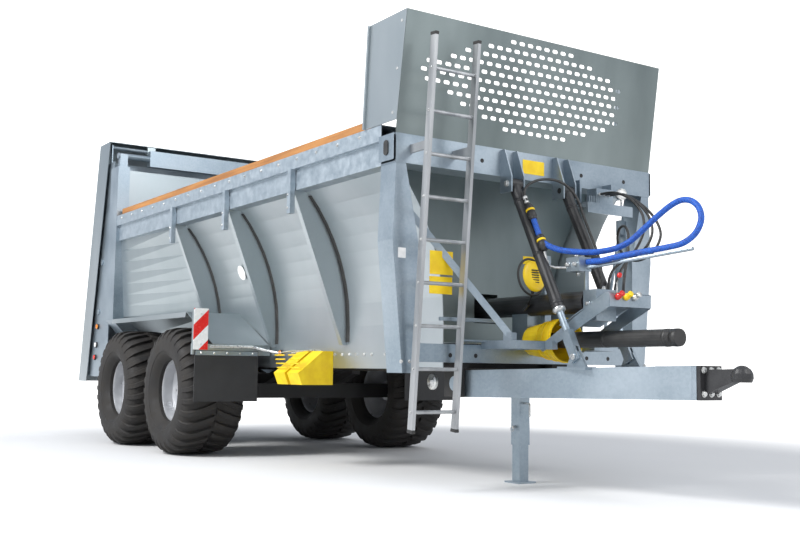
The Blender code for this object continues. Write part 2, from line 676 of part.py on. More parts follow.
def hopper_walls():
    for name, side in SIDES:
        rows = [wall_row(HOPPER_REAR, flare_y, side), wall_row(FLARE_FRONT, wall_y, side),
                wall_row(HOPPER_FRONT, wall_y, side)]
        wall = skin(f"hopper_side_{name}", rows, Vector((0, -SHEET * side, 0)), GALVANISED)
        for i in range(RIB_COUNT):
            weld(wall, *rib(f"rib_{name}_{i}", RIB_FIRST_X + i * RIB_SPACING, side))


def top_rails():
    outline = [(WALL_TOP_HALF_WIDTH - SHEET, WALL_TOP_Z), (RAIL_WEB_HALF_WIDTH, WALL_TOP_Z),
               (RAIL_WEB_HALF_WIDTH, RAIL_LIP_Z), (BODY_HALF_WIDTH, RAIL_LIP_Z),
               (BODY_HALF_WIDTH, RAIL_TOP_Z), (WALL_TOP_HALF_WIDTH - SHEET, RAIL_TOP_Z)]
    front = HOPPER_FRONT
    for name, side in SIDES:
        rail = hollow_prism(f"top_rail_{name}", mirrored(outline, side), SHEET, HOPPER_REAR, front, "x", GALVANISED)
        for i in range(RIB_COUNT):
            x = RIB_FIRST_X + i * RIB_SPACING
            pocket = box(f"stake_pocket_{name}_{i}", (x - STAKE_POCKET_WIDTH / 2, x + STAKE_POCKET_WIDTH / 2),
                         span(side, RAIL_WEB_HALF_WIDTH + 0.008, RAIL_WEB_HALF_WIDTH + 0.008 + STAKE_POCKET_DEPTH),
                         (STAKE_POCKET_BOTTOM, RAIL_LIP_Z + OVERLAP), GALVANISED)
            tie = box(f"stake_tie_{name}_{i}", (x - STAKE_POCKET_WIDTH / 2 + 0.005, x + STAKE_POCKET_WIDTH / 2 - 0.005),
                      span(side, RAIL_WEB_HALF_WIDTH - OVERLAP, RAIL_WEB_HALF_WIDTH + 0.02),
                      (WALL_TOP_Z + 0.02, RAIL_LIP_Z - 0.05), GALVANISED)
            weld(rail, pocket, tie)
        timber_outer = BODY_HALF_WIDTH - TIMBER_INSET
        box(f"timber_rail_{name}", (HOPPER_REAR + 0.05, front - 0.17),
            span(side, timber_outer - TIMBER_WIDTH, timber_outer),
            (RAIL_TOP_Z + SEAT_GAP, RAIL_TOP_Z + SEAT_GAP + TIMBER_HEIGHT), TIMBER)


# ---------------------------------------------------------------- front frame and head board
def leg_face():
    """Outline of a front leg, seen from the front: narrow under the beam, knee out, then in to the foot."""
    top = BEAM_BOTTOM + OVERLAP
    outer = [(BODY_HALF_WIDTH - 0.004, top), (BODY_HALF_WIDTH + 0.018, LEG_KNEE_Z),
             (BODY_HALF_WIDTH - 0.076, LEG_BOTTOM)]
    inner = [(BODY_HALF_WIDTH - 0.206, LEG_BOTTOM), (BODY_HALF_WIDTH - 0.200, LEG_KNEE_Z),
             (BODY_HALF_WIDTH - 0.086, top)]
    return outer + inner


def front_frame():
    inner_x = FRONT_X - BEAM_DEPTH
    outline = [(inner_x, BEAM_BOTTOM), (FRONT_X, BEAM_BOTTOM), (FRONT_X, BEAM_TOP), (inner_x, BEAM_TOP)]
    frame = hollow_prism("front_frame", outline, SHEET * 1.5, -BEAM_HALF_WIDTH, BEAM_HALF_WIDTH, "y", GALVANISED)
    leg_back = HOPPER_FRONT + 2 * SEAT_GAP
    pieces = [prism(f"front_leg_{name}", mirrored(leg_face(), side), leg_back, FRONT_X - 0.004, "x", GALVANISED)
              for name, side in SIDES]
    pieces.append(box("front_sill", (leg_back, FRONT_X), (-SILL_HALF_WIDTH, SILL_HALF_WIDTH),
                      (SILL_BOTTOM, SILL_TOP), GALVANISED))
    pieces.append(box("cylinder_post", (leg_back + 0.01, FRONT_X - 0.01), (-0.05, 0.05),
                      (SILL_TOP - OVERLAP, CYLINDER_Z - CYLINDER_RADIUS + 0.02), GALVANISED))
    gusset_front = FRONT_X + GUSSET_REACH
    gusset = [(FRONT_X - OVERLAP, GUSSET_BOTTOM), (gusset_front, GUSSET_BOTTOM),
              (gusset_front, GUSSET_BOTTOM + 0.12), (FRONT_X + 0.05, BEAM_TOP - 0.01),
              (FRONT_X - OVERLAP, BEAM_TOP - 0.01)]
    for i, y in enumerate(GUSSET_Y + tuple(-y for y in GUSSET_Y)):
        pieces.append(prism(f"strut_gusset_{i}", gusset, *span_at(y, BAR), "y", GALVANISED))
    weld(frame, *pieces)
    bed = tube_room("cylinder_bed", (leg_back - 0.1, 0, CYLINDER_Z), (FRONT_X + 0.1, 0, CYLINDER_Z),
                    CYLINDER_RADIUS + SEAT_GAP, 24)
    pins = rod("strut_pin_bore", (STRUT_TOP_X, -1, STRUT_TOP_Z), (STRUT_TOP_X, 1, STRUT_TOP_Z),
               hole_radius(STRUT_PIN_RADIUS, 16, SEAT_GAP), GALVANISED)
    cut(frame, bed, pins)


def tube_room(name, start, end, radius, sides):
    return rod(name, start, end, radius / math.cos(math.pi / sides), GALVANISED, sides)


def head_board():
    foot_z = BEAM_TOP + SEAT_GAP
    foot_x = FRONT_X - 0.005
    slope = HEAD_LEAN / (HEAD_TOP - foot_z)
    outline = [(foot_x, foot_z), (foot_x + HEAD_LEAN, HEAD_TOP),
               (foot_x + HEAD_LEAN - SHEET, HEAD_TOP), (foot_x - SHEET, foot_z)]
    board = prism("head_board", outline, -BEAM_HALF_WIDTH, BEAM_HALF_WIDTH, "y", GALVANISED)
    wing_z = RAIL_TOP_Z + SEAT_GAP
    wing_foot = foot_x + slope * (wing_z - foot_z)
    wing = [(wing_foot - SHEET / 2, wing_z), (foot_x + HEAD_LEAN - SHEET / 2, HEAD_TOP),
            (foot_x + HEAD_LEAN - WING_LENGTH, HEAD_TOP), (wing_foot - WING_LENGTH + 0.06, wing_z)]
    wings = [prism(f"wing_{name}", wing, *span(side, BEAM_HALF_WIDTH - SHEET, BEAM_HALF_WIDTH - 0.0002),
                   "y", GALVANISED) for name, side in SIDES]
    weld(board, *wings)


# ---------------------------------------------------------------- drawbar
def drawbar_leg(name, side):
    outer = side * LEG_REAR_HALF_WIDTH, side * LEG_NOSE_HALF_WIDTH
    width = side * LEG_WIDTH
    rear, nose = PIVOT_X + PIVOT_RADIUS, NOSE_X
    rings = []
    for x, y, (low, high) in ((rear, outer[0], LEG_REAR_Z), (nose, outer[1], LEG_NOSE_Z)):
        rings.append([Vector((x, y, low)), Vector((x, y - width, low)),
                      Vector((x, y - width, high)), Vector((x, y, high))])
    return loft(f"drawbar_leg_{name}", rings, GALVANISED)


def leg_line_y(x):
    """Outer half width of the drawbar at a place along it."""
    share = (x - PIVOT_X - PIVOT_RADIUS) / (NOSE_X - PIVOT_X - PIVOT_RADIUS)
    return LEG_REAR_HALF_WIDTH + (LEG_NOSE_HALF_WIDTH - LEG_REAR_HALF_WIDTH) * share


def leg_line_z(x, edge):
    share = (x - PIVOT_X - PIVOT_RADIUS) / (NOSE_X - PIVOT_X - PIVOT_RADIUS)
    return LEG_REAR_Z[edge] + (LEG_NOSE_Z[edge] - LEG_REAR_Z[edge]) * share


def drawbar():
    pivot = rod("drawbar", (PIVOT_X, -(CHASSIS_HALF_GAUGE + 0.12), PIVOT_Z),
                (PIVOT_X, CHASSIS_HALF_GAUGE + 0.12, PIVOT_Z), PIVOT_RADIUS, GALVANISED, 20)
    legs = [drawbar_leg(name, side) for name, side in SIDES]
    eyes = [box(f"drawbar_eye_{name}", (PIVOT_X - 0.09, PIVOT_X + PIVOT_RADIUS + OVERLAP),
                span(side, LEG_REAR_HALF_WIDTH - LEG_WIDTH + 0.004, LEG_REAR_HALF_WIDTH - 0.004),
                (LEG_REAR_Z[0] + 0.004, LEG_REAR_Z[1] - 0.004), GALVANISED) for name, side in SIDES]
    inner = leg_line_y(JACK_X) - LEG_WIDTH + 0.02
    plate = box("jack_crossing", (JACK_X - 0.13, JACK_X + 0.13), (-inner, inner),
                (LEG_REAR_Z[0] + 0.03, LEG_REAR_Z[1] - 0.04), GALVANISED)
    nose = box("drawbar_nose", (NOSE_X - 0.30, NOSE_X + NOSE_PLATE),
               (-LEG_NOSE_HALF_WIDTH + 0.001, LEG_NOSE_HALF_WIDTH - 0.001),
               (LEG_NOSE_Z[0] + 0.002, LEG_NOSE_Z[1] - 0.004), GALVANISED)
    lugs = []
    for name, side in SIDES:
        pad_z = leg_line_z(STRUT_FOOT_X, 1)
        lugs.append(box(f"strut_pad_{name}", (STRUT_FOOT_X - 0.14, STRUT_FOOT_X + 0.14),
                        span(side, STRUT_Y - 0.05, STRUT_Y + 0.05), (pad_z - 0.012, pad_z + 0.008), GALVANISED))
        outline = [(STRUT_FOOT_X - 0.09, pad_z), (STRUT_FOOT_X + 0.11, pad_z),
                   (STRUT_FOOT_X + 0.03, STRUT_FOOT_Z + 0.04), (STRUT_FOOT_X - 0.03, STRUT_FOOT_Z + 0.04)]
        lugs.append(prism(f"strut_lug_{name}", outline,
                          *span(side, STRUT_Y - LUG_THICKNESS / 2, STRUT_Y + LUG_THICKNESS / 2), "y", GALVANISED))
    weld(pivot, *legs, *eyes, plate, nose, *lugs)
    bores = rod("strut_foot_bore", (STRUT_FOOT_X, -1, STRUT_FOOT_Z), (STRUT_FOOT_X, 1, STRUT_FOOT_Z),
                hole_radius(STRUT_PIN_RADIUS, 16, SEAT_GAP), GALVANISED)
    cut(pivot, bores)


def drawbar_struts():
    for name, side in SIDES:
        y = side * STRUT_Y
        top, foot = Vector((STRUT_TOP_X, y, STRUT_TOP_Z)), Vector((STRUT_FOOT_X, y, STRUT_FOOT_Z))
        along = (foot - top).normalized()
        length = (foot - top).length
        barrel = rod(f"drawbar_strut_{name}", top + along * 0.03, top + along * (length * 0.74),
                     STRUT_RADIUS, BLACK_STEEL)
        eye_half = (GUSSET_Y[1] - GUSSET_Y[0] - BAR) / 2 - SEAT_GAP
        eye = rod(f"strut_eye_{name}", (top.x, y - eye_half, top.z), (top.x, y + eye_half, top.z), 0.045, BLACK_STEEL)
        pin = rod(f"strut_top_pin_{name}", (top.x, y - eye_half - BAR, top.z), (top.x, y + eye_half + BAR, top.z),
                  STRUT_PIN_RADIUS, BLACK_STEEL)
        piston = rod(f"strut_rod_{name}", top + along * (length * 0.70), foot - along * 0.09,
                     STRUT_ROD_RADIUS, GALVANISED)
        fork = beam(f"strut_fork_{name}", foot - along * 0.20, foot + along * 0.03, 0.056, 0.075, GALVANISED)
        weld(barrel, eye, pin, piston, fork)
        slot = box(f"strut_slot_{name}", (STRUT_FOOT_X - 0.2, STRUT_FOOT_X + 0.2),
                   (y - LUG_THICKNESS / 2 - SEAT_GAP, y + LUG_THICKNESS / 2 + SEAT_GAP),
                   (STRUT_FOOT_Z - 0.2, STRUT_FOOT_Z + 0.075), GALVANISED)
        cut(barrel, slot)
        foot_pin = rod(f"strut_foot_pin_{name}", (foot.x, y - 0.034, foot.z), (foot.x, y + 0.034, foot.z),
                       STRUT_PIN_RADIUS, GALVANISED)
        weld(barrel, foot_pin)
        if side < 0:
            ahead = Vector((-along.z, 0, along.x)) * (STRUT_RADIUS + COUPLER_RADIUS - 0.005)
            ends = [top + along * length * share + ahead for share in COUPLER_REACH]
            weld(barrel, rod("hose_coupler", *ends, COUPLER_RADIUS, BLACK_STEEL))


def coupling():
    back = NOSE_X + NOSE_PLATE + SEAT_GAP
    plate = box("ball_coupling", (back, back + COUPLING_PLATE), (-0.10, 0.10),
                (LEG_NOSE_Z[0], LEG_NOSE_Z[1]), BLACK_STEEL)
    face = back + COUPLING_PLATE - OVERLAP
    tip = back + COUPLING_PLATE + COUPLING_REACH
    neck = loft("coupling_neck", [
        [Vector((face, y, COUPLING_Z + z)) for y, z in ((-0.055, -0.13), (0.055, -0.13), (0.055, 0.02), (-0.055, 0.02))],
        [Vector((tip - 0.02, y, COUPLING_Z + z))
         for y, z in ((-0.035, -0.045), (0.035, -0.045), (0.035, 0.027), (-0.035, 0.027))],
    ], BLACK_STEEL)
    rings = []
    for z, r in ((-0.055, 0.058), (-0.03, 0.068), (0.0, 0.066), (0.025, 0.052), (0.042, 0.028), (0.048, 0.010)):
        rings.append(circle(Vector((tip, 0, COUPLING_Z + z)), Vector((1, 0, 0)), Vector((0, 1, 0)), r, 20))
    dome = loft("coupling_dome", rings, BLACK_STEEL)
    weld(plate, neck, dome)
    cup = rod("coupling_cup", (tip, 0, COUPLING_Z - 0.08), (tip, 0, COUPLING_Z - 0.005), (0.045, 0.034), BLACK_STEEL, 20)
    cut(plate, cup)


# ---------------------------------------------------------------- parking jack
def jack():
    top = LEG_REAR_Z[0] + 0.03 - SEAT_GAP
    half = JACK_TUBE / 2
    outline = [(JACK_X - half, -half), (JACK_X + half, -half), (JACK_X + half, half), (JACK_X - half, half)]
    outer = hollow_prism("jack_tube", outline, JACK_WALL, JACK_TUBE_BOTTOM, top, "z", GALVANISED)
    collar = [(JACK_X - half - 0.05, -half - 0.04), (JACK_X + half + 0.05, -half - 0.04),
              (JACK_X + half + 0.05, half + 0.04), (JACK_X - half - 0.05, half + 0.04)]
    flange = hollow_prism("jack_flange", collar, 0.045, top - 0.014, top - SEAT_GAP, "z", GALVANISED)
    weld(outer, flange)
    leg_top = JACK_TUBE_BOTTOM + JACK_OVERLAP
    leg_half = half - JACK_WALL - SEAT_GAP * 2
    leg = box("jack_leg", (JACK_X - leg_half, JACK_X + leg_half), (-leg_half, leg_half),
              (JACK_FOOT_PLATE - OVERLAP, leg_top), GALVANISED)
    foot = box("jack_foot", (JACK_X - JACK_FOOT_SIZE / 2, JACK_X + JACK_FOOT_SIZE / 2),
               (-JACK_FOOT_SIZE / 2, JACK_FOOT_SIZE / 2), (0, JACK_FOOT_PLATE), GALVANISED)
    weld(leg, foot)
    put_origin(leg, (0, 0, 0))


# ---------------------------------------------------------------- ladder
def ladder():
    bottom, top = Vector((LADDER_BOTTOM[0], 0, LADDER_BOTTOM[1])), Vector((LADDER_TOP[0], 0, LADDER_TOP[1]))
    along = (top - bottom).normalized()
    half = (LADDER_WIDTH - LADDER_RAIL[1]) / 2
    deep = along.cross(Vector((0, 1, 0)))
    rails = []
    for name, side in SIDES:
        centre_y = Vector((0, LADDER_Y + side * half, 0))
        rings = []
        for end in (bottom, top):
            rings.append([end + centre_y + deep * LADDER_RAIL[0] / 2 * i + Vector((0, LADDER_RAIL[1] / 2 * j, 0))
                          for i, j in ((-1, -1), (1, -1), (1, 1), (-1, 1))])
        rails.append(loft(f"ladder_rail_{name}", rings, ALUMINIUM))
    frame = rails[0]
    frame.name = "ladder"
    rungs = []
    for i in range(LADDER_RUNGS):
        spot = bottom + along * (0.14 + LADDER_PITCH * i)
        rungs.append(rod(f"rung_{i}", spot + Vector((0, LADDER_Y - half, 0)), spot + Vector((0, LADDER_Y + half, 0)),
                         LADDER_RUNG_RADIUS, ALUMINIUM, 8, math.pi / 8))
    bracket_z = (BEAM_BOTTOM + BEAM_TOP) / 2
    reach = bottom + along * ((bracket_z - bottom.z) / along.z)
    brackets = [box(f"ladder_bracket_{name}", (FRONT_X + SEAT_GAP, reach.x + 0.003),
                    span_at(LADDER_Y + side * half, 0.022), (bracket_z - 0.03, bracket_z + 0.03), GALVANISED)
                for name, side in SIDES]
    weld(frame, *brackets, rails[1], *rungs)


# ---------------------------------------------------------------- rear gate
def gate_frame():
    """Two posts that come down to a sill as wide as the trough's foot."""
    foot_outer, foot_inner = FOOT_HALF_WIDTH + 0.12, FOOT_HALF_WIDTH - 0.02
    half = [(POST_INNER, POST_TOP), (POST_OUTER, POST_TOP), (POST_OUTER, POST_BOTTOM),
            (foot_outer, SILL_BOTTOM)]
    inside = [(-foot_inner, FLOOR_Z), (-POST_INNER, POST_BOTTOM + 0.04)]
    loop = half + mirrored(half[::-1], -1) + inside[::-1] + mirrored(inside, -1)
    return prism("gate_frame", loop, POST_REAR, POST_FRONT, "x", GALVANISED)


def rear_gate():
    frame = gate_frame()
    head_x = (GATE_X + 0.05, POST_FRONT - 0.02)
    crosshead = box("gate_crosshead", head_x, (-CROSSHEAD_HALF_WIDTH, CROSSHEAD_HALF_WIDTH), CROSSHEAD_Z, GALVANISED)
    bar_z = sum(CROSSHEAD_Z) / 2
    bar_x = sum(head_x) / 2
    bar = rod("gate_crossbar", (bar_x, -POST_OUTER + 0.01, bar_z), (bar_x, POST_OUTER - 0.01, bar_z), 0.035, GALVANISED)
    stands = [box(f"crossbar_stand_{name}", span_at(bar_x, 0.07), span(side, POST_INNER + 0.02, POST_OUTER - 0.03),
                  (POST_TOP - OVERLAP, bar_z + 0.02), GALVANISED) for name, side in SIDES]
    weld(frame, crosshead, bar, *stands)
    slot_half = POST_INNER + GATE_GROOVE + 0.02
    lower = FOOT_HALF_WIDTH + 0.04
    slot = [(slot_half, POST_TOP + 0.01), (slot_half, POST_BOTTOM + 0.07), (lower, GATE_BOTTOM - SEAT_GAP)]
    groove = prism("gate_groove", slot + mirrored(slot[::-1], -1), *span_at(GATE_X, GATE_SHEET + 2 * GATE_ROOM),
                   "x", GALVANISED)
    cut(frame, groove)
    half = POST_INNER + GATE_GROOVE
    shoulder = POST_BOTTOM + 0.12
    leaf = [(half, GATE_TOP), (half, shoulder), (POST_INNER - 0.01, shoulder), (FOOT_HALF_WIDTH - 0.03, GATE_BOTTOM)]
    gate = prism("dosing_gate", leaf + mirrored(leaf[::-1], -1), *span_at(GATE_X, GATE_SHEET), "x", GALVANISED)
    stiffener_top = GATE_TOP - 0.11
    spacing = (stiffener_top - shoulder - 0.12) / (GATE_STIFFENERS - 1)
    stiffeners = [box(f"gate_stiffener_{i}", (GATE_X - 0.05, GATE_X - GATE_SHEET / 2 + OVERLAP),
                      (-POST_INNER + 0.03, POST_INNER - 0.03), (z, z + 0.05), GALVANISED)
                  for i, z in enumerate(stiffener_top - spacing * k for k in range(GATE_STIFFENERS))]
    weld(gate, *stiffeners)


# ---------------------------------------------------------------- spreading unit
def spreading_unit():
    front = POST_REAR - SEAT_GAP
    inner = UNIT_PLATE_Y - BAR

    def rear_edge(z):
        return HOOD_TOP_FRONT - HOOD_LEAN * (HOOD_TOP - z) / (HOOD_TOP - HOOD_BOTTOM) - 0.16
    outline = [(front, UNIT_BOTTOM), (front, UNIT_TOP), (rear_edge(UNIT_TOP), UNIT_TOP),
               (rear_edge(UNIT_BOTTOM), UNIT_BOTTOM)]
    plates = [prism(f"unit_plate_{name}", outline, *span(side, inner, UNIT_PLATE_Y), "y", GALVANISED)
              for name, side in SIDES]
    frame = plates[0]
    frame.name = "spreader_frame"
    bed = box("spreader_bed", (DISC_X - 0.13, DISC_X + 0.13), (-inner - OVERLAP, inner + OVERLAP),
              (UNIT_BOTTOM + 0.02, BED_TOP), GALVANISED)
    top_tie = box("unit_top_tie", (front - 0.16, front - 0.05), (-inner - OVERLAP, inner + OVERLAP),
                  (UNIT_TOP - 0.12, UNIT_TOP - 0.02), GALVANISED)
    hinge_x, hinge_z = HOOD_TOP_FRONT - HINGE_DROP, HOOD_TOP - HINGE_DROP
    hinge = rod("hood_hinge_bar", (hinge_x, -inner - OVERLAP, hinge_z), (hinge_x, inner + OVERLAP, hinge_z),
                HINGE_RADIUS, GALVANISED)
    ears = [box(f"hinge_ear_{name}", span_at(hinge_x, 2 * HINGE_RADIUS), span(side, inner, UNIT_PLATE_Y),
                (UNIT_TOP - OVERLAP, hinge_z + HINGE_RADIUS + 0.001), GALVANISED)
            for name, side in SIDES]
    weld(frame, bed, top_tie, hinge, plates[1], *ears)
    bores = [rod(f"beater_bore_{i}", (x, -2, z), (x, 2, z), hole_radius(BEATER_SHAFT, 20), GALVANISED, 20)
             for i, (x, z) in enumerate(zip(BEATER_X, BEATER_Z))]
    cut(frame, *bores)
    posts = [rod(f"disc_spindle_{name}", (DISC_X, side * DISC_Y, BED_TOP - OVERLAP),
                 (DISC_X, side * DISC_Y, DISC_Z + 0.03), DISC_SPINDLE, GALVANISED, 16) for name, side in SIDES]
    weld(frame, *posts)
    for label, x, z in zip(("upper", "lower"), BEATER_X, BEATER_Z):
        beater(f"beater_{label}", x, z, inner)
    for name, side in SIDES:
        spreading_disc(f"spreading_disc_{name}", side)


def beater(name, x, z, inner):
    """A core tube with four twisted blades, as one lofted auger, on a through shaft."""
    half = inner - 0.03
    steps = 20
    blades = 4
    rings = []
    for s in range(steps + 1):
        share = s / steps
        y = -half + 2 * half * share
        twist = math.radians(150) * abs(share - 0.5) * 2
        ring = []
        for b in range(blades):
            a = 2 * math.pi * b / blades + twist
            for da, r in ((-0.42, BEATER_CORE), (-0.055, BEATER_RADIUS), (0.055, BEATER_RADIUS), (0.42, BEATER_CORE)):
                ring.append(Vector((x + r * math.cos(a + da), y, z + r * math.sin(a + da))))
        rings.append(ring)
    drum = loft(name, rings, GALVANISED)
    shaft = rod(name + "_shaft", (x, -UNIT_PLATE_Y - 0.012, z), (x, UNIT_PLATE_Y + 0.012, z), BEATER_SHAFT, GALVANISED, 20)
    weld(drum, shaft)
    put_origin(drum, (x, 0, z))


def spreading_disc(name, side):
    y = side * DISC_Y
    hub = rod(name, (DISC_X, y, DISC_Z - 0.05), (DISC_X, y, DISC_Z + 0.06), 0.075, GALVANISED, 20)
    plate = rod(name + "_plate", (DISC_X, y, DISC_Z), (DISC_X, y, DISC_Z + 0.010), DISC_RADIUS, GALVANISED, 32)
    vanes = []
    for i in range(4):
        a = math.pi / 4 + i * math.pi / 2
        start = Vector((DISC_X + 0.07 * math.cos(a), y + 0.07 * math.sin(a), DISC_Z + 0.045))
        end = Vector((DISC_X + (DISC_RADIUS - 0.005) * math.cos(a), y + (DISC_RADIUS - 0.005) * math.sin(a),
                      DISC_Z + 0.045))
        vanes.append(beam(f"{name}_vane_{i}", start, end, 0.008, 0.075, GALVANISED))
    weld(hub, plate, *vanes)
    bore = rod(name + "_bore", (DISC_X, y, DISC_Z - 0.1), (DISC_X, y, DISC_Z + 0.03 + SEAT_GAP),
               hole_radius(DISC_SPINDLE, 16), GALVANISED, 16)
    cut(hub, bore)
    put_origin(hub, (DISC_X, y, DISC_Z))


def rear_hood():
    """Back panel and two side cheeks, hung from the bar at the top of the unit."""
    foot_rear = HOOD_TOP_REAR - HOOD_LEAN
    inner = HOOD_HALF_WIDTH - SHEET
    back = [(HOOD_TOP_REAR, HOOD_TOP), (foot_rear, HOOD_BOTTOM), (foot_rear + SHEET, HOOD_BOTTOM),
            (HOOD_TOP_REAR + SHEET, HOOD_TOP)]
    panel = prism("rear_hood", back, -inner - OVERLAP, inner + OVERLAP, "y", GALVANISED)
    roof = box("hood_roof", (HOOD_TOP_REAR + 0.001, HOOD_TOP_FRONT), (-inner - OVERLAP, inner + OVERLAP),
               (HOOD_TOP - SHEET, HOOD_TOP - FLUSH), GALVANISED)
    cheek = [(HOOD_TOP_REAR, HOOD_TOP), (foot_rear, HOOD_BOTTOM), (foot_rear + HOOD_CHEEK, HOOD_BOTTOM),
             (HOOD_TOP_FRONT, HOOD_TOP)]
    cheeks = [prism(f"hood_cheek_{name}", cheek, *span(side, inner, HOOD_HALF_WIDTH), "y", GALVANISED)
              for name, side in SIDES]
    hinge_x, hinge_z = HOOD_TOP_FRONT - HINGE_DROP, HOOD_TOP - HINGE_DROP
    knuckle = HINGE_RADIUS + 0.02
    knuckles = [box(f"hood_knuckle_{name}", span_at(hinge_x, 2 * knuckle), span(side, 0.70, 0.80),
                    (hinge_z - knuckle, HOOD_TOP - OVERLAP), GALVANISED) for name, side in SIDES]
    weld(panel, roof, *cheeks, *knuckles)
    bore = rod("hood_hinge_bore", (hinge_x, -1, hinge_z), (hinge_x, 1, hinge_z), hole_radius(HINGE_RADIUS, 16), GALVANISED)
    cut(panel, bore)
    put_origin(panel, (hinge_x, 0, hinge_z))


# ---------------------------------------------------------------- push wall and cylinder
def stage_radius(i):
    return CYLINDER_RADIUS - STAGE_STEP * i


def push_unit():
    front = PUSH_X
    rear = PUSH_X - PUSH_THICKNESS
    heights = [FLOOR_Z + SEAT_GAP] + [z for z in wall_heights() if z > FLOOR_Z + 0.01]
    side_points = [(wall_y(z) - SHEET - PUSH_CLEAR, z) for z in heights]
    side_points += [(side_points[-1][0], PUSH_TOP)]
    outline = side_points + [(-y, z) for y, z in reversed(side_points)]
    wall = prism("push_wall", outline, rear, front, "x", GALVANISED)
    pocket_half = CYLINDER_RADIUS + 0.05
    pocket = box("push_pocket", (rear - POCKET_DEPTH, rear + OVERLAP), (-pocket_half, pocket_half),
                 (CYLINDER_Z - pocket_half, CYLINDER_Z + pocket_half), GALVANISED)
    weld(wall, pocket)
    hollow = box("push_pocket_hollow", (rear - POCKET_DEPTH + 0.03, front + 0.01),
                 (-pocket_half + POCKET_SHEET, pocket_half - POCKET_SHEET),
                 (CYLINDER_Z - pocket_half + POCKET_SHEET, CYLINDER_Z + pocket_half - POCKET_SHEET), GALVANISED)
    cut(wall, hollow)
    back = rear - POCKET_DEPTH + 0.03 - OVERLAP
    start = back + 0.04
    inner_stage = rod("push_rod", (back, 0, CYLINDER_Z), (start + CYLINDER_LENGTH - 0.05, 0, CYLINDER_Z),
                      stage_radius(STAGE_COUNT + 1), GALVANISED, 20)
    weld(wall, inner_stage)
    put_origin(wall, (PUSH_X, 0, 0))
    for i in range(STAGE_COUNT + 1):
        name = "push_cylinder" if i == 0 else f"cylinder_stage_{i}"
        finish = BLACK_STEEL if i == 0 else GALVANISED
        outer = stage_radius(i)
        bore = stage_radius(i + 1) + PIN_GAP
        first, last = start - 0.008 * i, start + CYLINDER_LENGTH - 0.012 * i
        pipe = tube(name, (first, 0, CYLINDER_Z), (last, 0, CYLINDER_Z), outer, bore, finish, 20)
        put_origin(pipe, (first, 0, CYLINDER_Z))


# ---------------------------------------------------------------- driveline
def driveline():
    bell_front = FRONT_X + BELL_LENGTH
    shaft_rear = PTO_REAR + 0.05
    guard = rod("pto_guard", (FRONT_X + SEAT_GAP, 0, PTO_Z), (bell_front, 0, PTO_Z), BELL_RADIUS, YELLOW, 24)
    hollow = rod("bell_hollow", (PTO_REAR + 0.02, 0, PTO_Z), (bell_front + 0.02, 0, PTO_Z),
                 (BELL_RADIUS[0] + 0.005, BELL_RADIUS[1] - 0.004), YELLOW, 24)
    cut(guard, hollow)
    stub_end = shaft_rear + 0.05
    stub = rod("gearbox_stub", (PTO_REAR, 0, PTO_Z), (stub_end, 0, PTO_Z), PTO_STUB, YELLOW, 16)
    weld(guard, stub)
    shaft = rod("pto_shaft", (shaft_rear, 0, PTO_Z), (PTO_REAR + PTO_LENGTH, 0, PTO_Z), PTO_RADIUS, BLACK_PLASTIC, 20)
    bore = rod("shaft_bore", (PTO_REAR, 0, PTO_Z), (stub_end + SEAT_GAP, 0, PTO_Z),
               hole_radius(PTO_STUB, 16), BLACK_PLASTIC, 16)
    cut(shaft, bore)
    put_origin(shaft, (PTO_REAR, 0, PTO_Z))


# ---------------------------------------------------------------- fenders, flaps, boards, chocks
def fender_inner(x):
    """How far from the centre line the shelf meets the wall, which flares toward the gate."""
    share = min(1.0, (x - HOPPER_REAR) / (FLARE_FRONT - HOPPER_REAR))
    return flare_y(FENDER_Z) + (wall_y(FENDER_Z) - flare_y(FENDER_Z)) * share + SEAT_GAP


